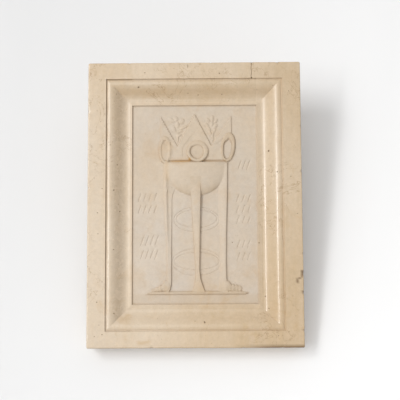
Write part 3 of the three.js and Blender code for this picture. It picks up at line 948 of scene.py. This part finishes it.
def runs_of(loop):
    """A coarse loop's bottom, right, top and left runs, corners in both."""
    nx, nz = len(coarse_x) - 1, len(coarse_z) - 1
    closed = loop + [loop[0]]
    return [
        closed[:nx + 1],
        closed[nx:nx + nz + 1],
        closed[nx + nz:2 * nx + nz + 1],
        closed[2 * nx + nz:],
    ]


def join_front_edge(index, loop, vertices, faces):
    """The fine front edge to the first coarse loop, side by side."""
    fine_runs = [index[0, :], index[:, -1], index[-1, ::-1], index[::-1, 0]]
    directions = [(0, 1), (2, 1), (0, -1), (2, -1)]
    for fine, coarse, (axis, sign) in zip(fine_runs, runs_of(loop), directions):
        fine_at = [sign * vertices[v][axis] for v in fine]
        coarse_at = [sign * vertices[v][axis] for v in coarse]
        faces += [tuple(reversed(f)) for f in zipped(fine, coarse, fine_at, coarse_at)]


def add_back(loop, vertices, faces):
    net = np.empty((len(coarse_x), len(coarse_z)), int)
    bottom, right, top, left = runs_of(loop)
    net[:, 0] = bottom
    net[-1, :] = right
    net[:, -1] = top[::-1]
    net[0, :] = left[::-1]
    for i in range(1, len(coarse_x) - 1):
        for j in range(1, len(coarse_z) - 1):
            net[i, j] = len(vertices)
            px, pz = shrunk(coarse_x[i], coarse_z[j], BACK_BEVEL)
            vertices.append((px, 0.0, pz))
    for i in range(len(coarse_x) - 1):
        for j in range(len(coarse_z) - 1):
            faces.append((net[i, j + 1], net[i + 1, j + 1], net[i + 1, j], net[i, j]))


def new_piece(name, vertices, faces):
    mesh = bpy.data.meshes.new(name)
    mesh.from_pydata([(x * MM, y * MM, z * MM) for x, y, z in vertices], [], faces)
    mesh.validate()
    mesh.update()
    mesh.shade_smooth()
    piece = bpy.data.objects.new(name, mesh)
    bpy.context.scene.collection.objects.link(piece)
    return piece


# Edges that bend more than this stay crisp
SHARP_ANGLE = math.radians(32)


def build_stone():
    vertices, faces, index = front_mesh()
    first_loop, last_loop = add_sides(vertices, faces)
    join_front_edge(index, first_loop, vertices, faces)
    add_back(last_loop, vertices, faces)
    piece = new_piece("carved_stone", vertices, faces)
    piece.data.set_sharp_from_angle(angle=SHARP_ANGLE)
    mark_mitres(piece.data)
    stone_attributes(piece.data)
    return piece


def vertex_places(mesh):
    """The mesh's vertices in millimetres, one row each."""
    places = np.empty(len(mesh.vertices) * 3)
    mesh.vertices.foreach_get("co", places)
    return places.reshape(-1, 3) / MM


def mark_mitres(mesh):
    """The edges where two runs of moulding meet stay crisp."""
    x, y, z = vertex_places(mesh).T
    across_in = opening_half_width - np.abs(x)
    up_in = opening_half_height - np.abs(z)
    on_mitre = (np.abs(across_in - up_in) < 0.01) & (y < -PANEL_THICKNESS / 2)
    on_mitre &= (across_in > 0) & (across_in < moulding_width + 0.01)
    ends = np.empty(len(mesh.edges) * 2, np.int32)
    mesh.edges.foreach_get("vertices", ends)
    ends = ends.reshape(-1, 2)
    crease = on_mitre[ends[:, 0]] & on_mitre[ends[:, 1]]
    sharp = np.empty(len(mesh.edges), bool)
    flags = mesh.attributes["sharp_edge"].data
    flags.foreach_get("value", sharp)
    flags.foreach_set("value", sharp | crease)


# Masks for the finish

# Painted shade and dirt in hollows, darker below higher ground to the left as
# light from the left would leave them: how far around a place its surroundings
# are looked at, in how many directions, how much more those to the left count,
# and how far below them a place is fully darkened
LOOK_REACH = 1.3
LOOKS = 8
LOOK_LEFTWARD = 0.7
FULL_HOLLOW = 1.1

# How dark the painted shade and dirt in the moulding's lines are on each side,
# as shares of the rest: the left lines painted as shaded, the right and bottom
# ones as lit, and a cap on the left ones
QUIRK_RIGHT = 0.2
QUIRK_BOTTOM = 0.35
LINES_LEFT = 3.2
MOST_LEFT_LINE_DIRT_AND_SHADE = 2.5

# How brown the slope of the moulding is on each side, where it is brownest and
# how far the brown reaches; the top run's large share is mostly painted shade on
# its downward-facing slope, the other sides' shares the stone's own brown
PATINA_LEFT = 0.3
PATINA_RIGHT = 0.2
# Painted shade more than brown: the top run's slope faces down, away from the light
TOP_PATINA_AND_SHADE = 1.15
PATINA_BOTTOM = 0.25
PATINA_INSET = 17.5
PATINA_REACH = 10

# Share of gloss that the left roll and the upper right moulding have lost
DULL_LEFT = 0.4
DULL_RIGHT = 0.38

# Brown curl beside the chipped right edge, as places across and up
CURL = [(149.6, -96.5), (146.8, -104.2), (143.0, -106.0), (141.6, -109.4), (142.8, -112.8)]
CURL_HALF_WIDTH = 0.9

# Clouds of rust on the field: middle, half sizes, core and strength
RUST_CLOUDS = [
    (-39, 76, 15, 17, 1.25, 0.2),
    (-23, 81, 5.5, 7, 1.3, 0.22),
    (6, 3, 14, 7, 1.2, 0.22),
]


def crease_dirt_and_shade_mask(x, z, depth):
    """Painted shade and dirt in hollows, more in the left lines and less in the right ones, as
    light from the left would fall.
    """
    around = np.zeros(len(x))
    for number in range(LOOKS):
        turn = number * 2 * math.pi / LOOKS
        # Higher ground to the left counts more: painted shade from the light on the left
        weight = (1 - LOOK_LEFTWARD * math.cos(turn)) / LOOKS
        at_x = x + LOOK_REACH * math.cos(turn)
        at_z = z + LOOK_REACH * math.sin(turn)
        around += weight * surface_depth(at_x, at_z)
    crease_dirt_and_shade = portion(depth - around, 0, FULL_HOLLOW)
    inset = inset_from_border(x, z)
    in_quirk = (inset > -1) & (inset < 3)
    in_step = np.abs(inset - moulding_width) < 1.6
    # Painted shade: the left lines darker as shaded, the right and bottom ones lighter as lit
    crease_dirt_and_shade = np.where(in_quirk & (x > field_half_width), crease_dirt_and_shade * QUIRK_RIGHT, crease_dirt_and_shade)
    crease_dirt_and_shade = np.where(in_quirk & (z < -field_half_height), crease_dirt_and_shade * QUIRK_BOTTOM, crease_dirt_and_shade)
    left_lines = in_quirk & (x < -field_half_width)
    left_lines |= in_step & (x < -field_half_width + 3)
    return np.where(left_lines, np.clip(crease_dirt_and_shade * LINES_LEFT, 0, MOST_LEFT_LINE_DIRT_AND_SHADE), crease_dirt_and_shade)


def dirt_and_edge_shade_mask(x, z):
    """Dirt in the crack, pits and chips, in a curl and a drop, and dirt with painted shade along
    the bottom and right edges.
    """
    from_bottom = half_height + z
    dirt_and_edge_shade = [
        np.clip(crack_depth(x, z) * 1.5, 0, 1),
        np.clip(pit_depth(x, z) * 2, 0, 1),
        np.clip(chip_depth(x, z) * 1.2, 0, 1),
        # Dark lines along the bottom and right arris: painted shade on edges turned from the
        # light, with dirt
        fading(from_bottom, 1.6) * 0.7,
        fading(half_width - x, 1.2) * 0.4,
        fading(from_bottom, 3.2, 1.3) * ease((x - 40) / 80) * 1.3,
        fading(np.hypot(x - across(-3.6), z - up(RIM + 0.7)), 1.2, 1.2),
    ]
    for start, end in zip(CURL, CURL[1:]):
        dirt_and_edge_shade.append(fading(line_distance(start, end, x, z), CURL_HALF_WIDTH, 1.7))
    return np.maximum.reduce(dirt_and_edge_shade)


def moulding_brown_and_shade_mask(x, z):
    """Brown on the slope of the moulding, unlike on each side; on the top run mostly painted
    shade.
    """
    on_slope = fading(np.abs(inset_from_border(x, z) - PATINA_INSET), PATINA_REACH)
    at_sides = np.abs(x) - opening_half_width > np.abs(z) - opening_half_height
    of_sides = np.where(x > 0, PATINA_RIGHT, PATINA_LEFT)
    of_ends = np.where(z < 0, PATINA_BOTTOM, TOP_PATINA_AND_SHADE)
    return ease(on_slope * np.where(at_sides, of_sides, of_ends))


def dull_mask(x, z):
    """Where the gloss is lost: the field and its lip, and part of the moulding."""
    inset = inset_from_border(x, z)
    left_roll = (x < -field_half_width) & (inset > -1) & (inset < roll_end + 2)
    right_side = (x > field_half_width) & (inset > 0)
    return np.maximum.reduce([
        ease((inset - moulding_width + 7) / 4),
        left_roll * ease((z + 120) / 160) * DULL_LEFT,
        right_side * ease((z + 20) / 120) * DULL_RIGHT,
    ])


def relief_brown_and_shade_mask(x, z):
    """Where the field is browner: its raised parts, most of all at the feet, with painted shade
    on the lower part of the bowl.
    """
    within_sides = np.abs(x) < field_half_width
    raised = np.clip(relief(x, z) / 0.8, 0, 1) * within_sides
    near_feet = ease((up(9) - z) / tall(9))
    rings = np.maximum.reduce([ring_rise(ring, x, z) for ring in RINGS])
    to_right = ease((x + z * 0.3 - across(24)) / 8)
    under = ease((up(-0.5) - z) / tall(2)) * (z > -field_half_height) * within_sides
    return np.maximum.reduce([
        raised * (0.12 + 0.45 * near_feet),
        (leg_rise(MIDDLE_LEG, x, z) > 0) * 0.35,
        under * 0.3,
        # Painted shade on the lower part of the bowl, which turns down and away from the light
        (bowl_rise(x, z) > 0) * ease((up(64) - z) / tall(9)) * 0.45,
        (rings > 0) * (0.25 + 0.35 * to_right),
    ])


def ochre_mask(x, z):
    """Rust-coloured stains: along the rim, down a leg and in clouds."""
    rim = fading(np.abs(z - up(RIM + 0.35)), 0.9, 1.3)
    left_part = ease((x - across(-21)) / 6) * ease((across(-2.6) - x) / 3)
    right_part = ease((x - across(3)) / 6) * ease((across(26) - x) / 3)
    down_leg = ease((z - up(60)) / 10) * ease((up(74) - z) / 5)
    stains = [
        rim * left_part,
        fading(np.abs(z - up(RIM + 0.3)), 7) * left_part * 0.35,
        rim * right_part * 0.35,
        fading(np.hypot(x - across(-4.2), z - up(RIM + 1.2)), 2.6, 1.3),
        fading(np.abs(x - across(-22.6)), 5) * down_leg * 0.4,
    ]
    for at_x, at_z, half_x, half_z, core, strength in RUST_CLOUDS:
        off = np.hypot((x - across(at_x)) / across(half_x), (z - up(at_z)) / tall(half_z))
        stains.append(fading(off, 1, core) * strength * (np.abs(x) < field_half_width))
    return np.maximum.reduce(stains)


def stone_attributes(mesh):
    x, y, z = vertex_places(mesh).T
    inset = inset_from_border(x, z)
    masks = {
        "crease_dirt_and_shade": crease_dirt_and_shade_mask(x, z, y + PANEL_THICKNESS),
        "matt": ease((inset - moulding_width + 2) / 3),
        "ochre": ochre_mask(x, z),
        "dirt_and_edge_shade": dirt_and_edge_shade_mask(x, z),
        "moulding_brown_and_shade": moulding_brown_and_shade_mask(x, z),
        "relief_brown_and_shade": relief_brown_and_shade_mask(x, z),
        "dull": dull_mask(x, z),
    }
    on_front = y < -PANEL_THICKNESS / 2
    for name, values in masks.items():
        layer = mesh.attributes.new(name, "FLOAT", "POINT")
        layer.data.foreach_set("value", np.where(on_front, values, 0).astype(np.float32))


# Stone finish

class Finish:
    """Short ways to make and join the nodes of one material or of the world."""

    def __init__(self, owner, coordinates="Object"):
        owner.use_nodes = True
        self.nodes = owner.node_tree.nodes
        self.links = owner.node_tree.links
        self.nodes.clear()
        self.coords = self.nodes.new("ShaderNodeTexCoord").outputs[coordinates]
        split = self.nodes.new("ShaderNodeSeparateXYZ")
        self.links.new(self.coords, split.inputs[0])
        self.x = split.outputs["X"]
        self.z = split.outputs["Z"]

    def plug(self, socket, value):
        if isinstance(value, (int, float)):
            socket.default_value = value
        elif isinstance(value, tuple):
            as_colour = len(value) == 3 and socket.type == "RGBA"
            socket.default_value = (*value, 1) if as_colour else value
        else:
            self.links.new(value, socket)

    def node(self, kind, **values):
        """A new node with values or links for its inputs, by their names."""
        node = self.nodes.new(kind)
        for name, value in values.items():
            self.plug(node.inputs[name.replace("_", " ")], value)
        return node

    def stretched(self, factors):
        return self.node("ShaderNodeMapping", Vector=self.coords, Scale=factors).outputs[0]

    def noise(self, scale, detail, roughness, vector=None, distortion=0.0):
        vector = vector or self.coords
        node = self.node(
            "ShaderNodeTexNoise", Vector=vector, Scale=scale, Detail=detail,
            Roughness=roughness, Distortion=distortion)
        return node.outputs["Fac"]

    def lumps(self, scale, detail, roughness, *limits, vector=None, distortion=0.0):
        """Noise spread between limits, as spread takes them."""
        return self.spread(self.noise(scale, detail, roughness, vector, distortion), *limits)

    def cells(self, scale):
        node = self.node("ShaderNodeTexVoronoi", Vector=self.coords, Scale=scale)
        return node.outputs["Distance"]

    def spread(self, value, low, high, to_low=0.0, to_high=1.0):
        node = self.node(
            "ShaderNodeMapRange", Value=value, From_Min=low, From_Max=high,
            To_Min=to_low, To_Max=to_high)
        return node.outputs[0]

    def joined(self, operation, *values, clamp=True):
        node = self.nodes.new("ShaderNodeMath")
        node.operation = operation
        node.use_clamp = clamp
        for socket, value in zip(node.inputs, values):
            self.plug(socket, value)
        return node.outputs[0]

    def times(self, first, second):
        return self.joined("MULTIPLY", first, second)

    def mix(self, factor, first, second, blend="MIX"):
        node = self.nodes.new("ShaderNodeMix")
        node.data_type = "RGBA"
        node.blend_type = blend
        self.plug(node.inputs["Factor"], factor)
        self.plug(node.inputs["A"], first)
        self.plug(node.inputs["B"], second)
        return node.outputs["Result"]

    def tint(self, colour, other, mask, share):
        return self.mix(self.times(mask, share), colour, other)

    def mask(self, name):
        node = self.nodes.new("ShaderNodeAttribute")
        node.attribute_name = name
        return node.outputs["Fac"]

    def bump(self, height, strength, distance, normal=None):
        node = self.node("ShaderNodeBump", Strength=strength, Distance=distance, Height=height)
        if normal is not None:
            self.links.new(normal, node.inputs["Normal"])
        return node.outputs[0]


STONE_IOR = 1.62
GLOSS_ROUGHNESS = (0.12, 0.24)
MATT_ROUGHNESS = 0.62

WARM = (0.612, 0.477, 0.325)
PALE = (0.684, 0.566, 0.428)
LEFT_PALE = (0.66, 0.56, 0.445)
HONEY = (0.56, 0.40, 0.225)
SLOPE_BROWN_AND_SHADE = (0.55, 0.40, 0.24)
GREY = (0.585, 0.51, 0.425)
LOW_GREY = (0.585, 0.525, 0.465)
RELIEF_BROWN_AND_SHADE = (0.485, 0.35, 0.20)
PATCH_BROWN = (0.58, 0.455, 0.325)
CLOUD_BROWN = (0.52, 0.345, 0.17)
SPECK_BROWN = (0.36, 0.25, 0.14)
VEIN_BROWN = (0.34, 0.21, 0.10)
LOWER_RIGHT_WARMTH_AND_SHADE = (0.95, 0.925, 0.885)
DIRT_AND_SHADE_BROWN = (0.20, 0.125, 0.06)
RUST = (0.54, 0.325, 0.11)


def bed_colour(stone, lower_right_warmth_and_shade):
    """Beds of the stone: broad warm and pale areas, streaks and bands."""
    colour = stone.mix(stone.lumps(9, 3, 0.5, 0.36, 0.64), WARM, PALE)
    to_left = stone.spread(stone.x, 0.02, -0.14)
    colour = stone.tint(colour, LEFT_PALE, to_left, 0.55)
    colour = stone.tint(colour, HONEY, lower_right_warmth_and_shade, 0.55)
    upper_left = stone.times(to_left, stone.spread(stone.z, 0.08, 0.2))
    colour = stone.tint(colour, HONEY, upper_left, 0.6)
    upright = stone.stretched((1.0, 1.0, 0.1))
    colour = stone.tint(colour, PALE, stone.lumps(75, 4, 0.6, 0.4, 0.64, vector=upright), 0.36)
    return stone.tint(colour, HONEY, stone.lumps(38, 3, 0.55, 0.5, 0.7, vector=upright), 0.3)


def area_colour(stone, colour, matt):
    """Brown and painted shade on the moulding's slope, grey in the field, brown and painted shade
    on its relief.
    """
    uneven = stone.lumps(20, 3, 0.6, 0.3, 0.65, 0.3, 0.8)
    colour = stone.tint(colour, SLOPE_BROWN_AND_SHADE, stone.mask("moulding_brown_and_shade"), uneven)
    ashen = stone.mix(stone.spread(stone.z, 0.04, -0.12), GREY, LOW_GREY)
    colour = stone.tint(colour, ashen, matt, stone.lumps(14, 3, 0.5, 0.35, 0.7, 0.45, 0.95))
    uneven = stone.lumps(55, 3, 0.6, 0.3, 0.7, 0.6, 1.0)
    colour = stone.tint(colour, RELIEF_BROWN_AND_SHADE, stone.mask("relief_brown_and_shade"), uneven)
    return stone.tint(colour, PATCH_BROWN, matt, stone.lumps(31, 4, 0.6, 0.47, 0.68, 0.0, 0.3))


def mottled_colour(stone, colour, matt, cloud):
    """Small mottling, clouds, fossil specks and thin veins."""
    colour = stone.tint(colour, HONEY, stone.lumps(130, 5, 0.65, 0.35, 0.7), 0.16)
    for scale, low, high in ((420, 0.97, 1.03), (150, 0.965, 1.04)):
        shade = stone.lumps(scale, 3, 0.6, 0.3, 0.7, low, high)
        colour = stone.mix(1.0, colour, shade, "MULTIPLY")
    colour = stone.tint(colour, CLOUD_BROWN, cloud, stone.spread(stone.z, -0.1, -0.16, 0.26, 0.5))
    near_specks = stone.joined("ADD", stone.cells(300), stone.noise(170, 2, 0.5))
    colour = stone.tint(colour, SPECK_BROWN, stone.spread(near_specks, 0.44, 0.56, 1.0, 0.0), 0.3)
    level = stone.joined("SUBTRACT", stone.noise(22, 5, 0.62, None, 0.8), 0.5, clamp=False)
    off_level = stone.joined("ABSOLUTE", level, clamp=False)
    vein = stone.spread(off_level, 0.0, 0.009, 1.0, 0.0)
    vein = stone.times(vein, stone.lumps(12, 2, 0.5, 0.47, 0.56))
    return stone.tint(colour, VEIN_BROWN, vein, stone.spread(matt, 0.0, 1.0, 0.6, 0.0))


def stained_colour(stone, colour, matt, crease_dirt_and_shade, cloud, uneven):
    """Painted shade and dirt in the hollows and along the bottom and right edges, dirt in the
    crack, pits and chips, and rust stains.
    """
    shade_and_dirt_share = stone.times(crease_dirt_and_shade, stone.spread(matt, 0.0, 1.0, 0.4, 0.18))
    shade_and_dirt_share = stone.joined("MAXIMUM", shade_and_dirt_share, stone.times(stone.mask("dirt_and_edge_shade"), 0.85))
    # Painted shade and dirt in hollows and along two edges, with real dirt in pits, chips and the
    # crack
    colour = stone.mix(shade_and_dirt_share, colour, DIRT_AND_SHADE_BROWN)
    low = stone.times(stone.mask("dull"), stone.spread(stone.z, -0.115, -0.14, 0.0, 0.3))
    stained = stone.joined("MAXIMUM", stone.mask("ochre"), stone.times(low, cloud))
    return stone.tint(colour, RUST, stained, uneven)


def stone_roughness(stone, crease_dirt_and_shade):
    """Honed gloss on the border and moulding, matt in the field and in the hollows."""
    gloss = stone.lumps(75, 4, 0.6, 0.3, 0.7, *GLOSS_ROUGHNESS)
    rough = stone.node("ShaderNodeMix", Factor=stone.mask("dull"), A=gloss, B=MATT_ROUGHNESS)
    return stone.joined("ADD", rough.outputs["Result"], stone.times(crease_dirt_and_shade, 0.4))


def stone_grain(stone):
    grain = stone.bump(stone.noise(1500, 4, 0.7), 0.2, 0.0001)
    grain = stone.bump(stone.noise(380, 4, 0.6), 0.25, 0.0002, grain)
    return stone.bump(stone.spread(stone.cells(420), 0.06, 0.16), 0.25, 0.00015, grain)


def limestone_material():
    material = bpy.data.materials.new("limestone")
    stone = Finish(material)
    matt = stone.mask("matt")
    uneven = stone.lumps(90, 3, 0.6, 0.3, 0.7, 0.55, 1.0)
    crease_dirt_and_shade = stone.times(stone.mask("crease_dirt_and_shade"), uneven)
    cloud = stone.lumps(34, 4, 0.6, 0.56, 0.72, distortion=0.6)

    # The lower right is warmer throughout, and a little darker as painted shade where the light
    # from the left falls off
    lower_right_warmth_and_shade = stone.times(
        stone.spread(stone.x, -0.12, 0.16), stone.spread(stone.z, 0.06, -0.2, 0.35, 1.0))
    colour = bed_colour(stone, lower_right_warmth_and_shade)
    colour = area_colour(stone, colour, matt)
    colour = mottled_colour(stone, colour, matt, cloud)
    # Painted shade: the lower right a little darker, with its warmer tint
    colour = stone.mix(lower_right_warmth_and_shade, colour, LOWER_RIGHT_WARMTH_AND_SHADE, "MULTIPLY")
    colour = stained_colour(stone, colour, matt, crease_dirt_and_shade, cloud, uneven)

    shader = stone.node("ShaderNodeBsdfPrincipled", Base_Color=colour, IOR=STONE_IOR)
    stone.plug(shader.inputs["Roughness"], stone_roughness(stone, crease_dirt_and_shade))
    stone.plug(shader.inputs["Normal"], stone_grain(stone))
    stone.node("ShaderNodeOutputMaterial", Surface=shader.outputs[0])
    return material


# Backdrop, light and camera

# The photographed slab leans: its back stands this far off the wall at the top
WALL_LEAN = 98.0
WALL_GAP = 1.0
WALL_TOP = 1500
FLOOR_DROP = 160.0
FLOOR_FRONT = -700
BEND_RADIUS = 60.0
BEND_STEPS = 8
BACKDROP_HALF_WIDTH = 1800


def paper_material():
    """Pale paper with painted light and shade, a little darker to the left and lighter to the
    right over the panel's shadow, that is seen through from behind.
    """
    material = bpy.data.materials.new("backdrop_paper")
    paper = Finish(material)
    # Painted light and shade: darker to the left, lighter to the right where the panel's shadow
    # falls
    shade = paper.times(
        paper.spread(paper.x, -0.28, 0.28, 0.82, 1.0),
        paper.spread(paper.z, -0.2, 0.16, 0.95, 0.955))
    shader = paper.node(
        "ShaderNodeBsdfPrincipled", Base_Color=shade, Roughness=1.0, Specular_IOR_Level=0.0)
    clear = paper.node("ShaderNodeBsdfTransparent")
    side = paper.node("ShaderNodeNewGeometry")
    blend = paper.node("ShaderNodeMixShader")
    sources = (side.outputs["Backfacing"], shader.outputs[0], clear.outputs[0])
    for source, socket in zip(sources, blend.inputs):
        paper.links.new(source, socket)
    paper.node("ShaderNodeOutputMaterial", Surface=blend.outputs[0])
    return material


def backdrop():
    slope = WALL_LEAN / PANEL_HEIGHT
    floor_z = -half_height - FLOOR_DROP
    foot_z = floor_z + BEND_RADIUS
    foot_y = (foot_z + half_height) * slope + WALL_GAP
    profile = [((WALL_TOP + half_height) * slope, WALL_TOP), (foot_y, foot_z)]
    for step in range(1, BEND_STEPS + 1):
        turn = step / BEND_STEPS * math.pi / 2
        y = foot_y - BEND_RADIUS * (1 - math.cos(turn))
        profile.append((y, foot_z - BEND_RADIUS * math.sin(turn)))
    profile.append((FLOOR_FRONT, floor_z))
    vertices = []
    for y, z in profile:
        vertices += [(-BACKDROP_HALF_WIDTH, y, z), (BACKDROP_HALF_WIDTH, y, z)]
    starts = range(0, 2 * len(profile) - 2, 2)
    piece = new_piece("backdrop", vertices, [(a, a + 2, a + 3, a + 1) for a in starts])
    piece.data.materials.append(paper_material())


# Area lights aimed at the middle: place and size in metres, and power
LIGHTS = [
    ("key", (-1.6, -2.61, 0.95), (0.75, 1.3), 29),
    ("strip", (-1.6, -2.61, -0.05), (0.26, 0.95), 11),
    ("window", (-1.3, -2.8, 0.6), (3.4, 2.6), 24.5),
]


def area_light(name, place, size, power):
    data = bpy.data.lights.new(name, "AREA")
    data.shape = "RECTANGLE"
    data.size, data.size_y = size
    data.energy = power
    lamp = bpy.data.objects.new(name, data)
    lamp.location = place
    lamp.rotation_euler = (-Vector(place)).to_track_quat("-Z", "Y").to_euler()
    bpy.context.scene.collection.objects.link(lamp)


def studio_world():
    """Soft light from all around, brighter from above."""
    world = bpy.data.worlds.new("studio")
    sky = Finish(world, "Generated")
    level = sky.spread(sky.z, -0.6, 0.8, 0.32, 0.66)
    ground = sky.node("ShaderNodeBackground", Color=level, Strength=1.0)
    sky.node("ShaderNodeOutputWorld", Surface=ground.outputs[0])
    bpy.context.scene.world = world


CAMERA_PLACE = (15.4, -PANEL_THICKNESS - 1036.4, -92.8)
CAMERA_AIM = (7.4, -PANEL_THICKNESS, 3.9)
CAMERA_ROLL = math.radians(-0.33)
CAMERA_ANGLE = math.radians(30)
CAMERA_SENSOR = 36


def camera():
    data = bpy.data.cameras.new("camera")
    data.sensor_width = CAMERA_SENSOR
    data.angle = CAMERA_ANGLE
    place = Vector(CAMERA_PLACE) * MM
    aim = Vector(CAMERA_AIM) * MM
    turn = (aim - place).to_track_quat("-Z", "Y").to_matrix().to_4x4()
    viewer = bpy.data.objects.new("camera", data)
    viewer.matrix_world = Matrix.Translation(place) @ turn @ Matrix.Rotation(CAMERA_ROLL, 4, "Z")
    bpy.context.scene.collection.objects.link(viewer)
    bpy.context.scene.camera = viewer


camera()
studio_world()
for light in LIGHTS:
    area_light(*light)
backdrop()
bpy.context.scene.view_settings.view_transform = "Standard"

stone = build_stone()
stone.data.materials.append(limestone_material())
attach(stone, "root")
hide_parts("relief_panel")
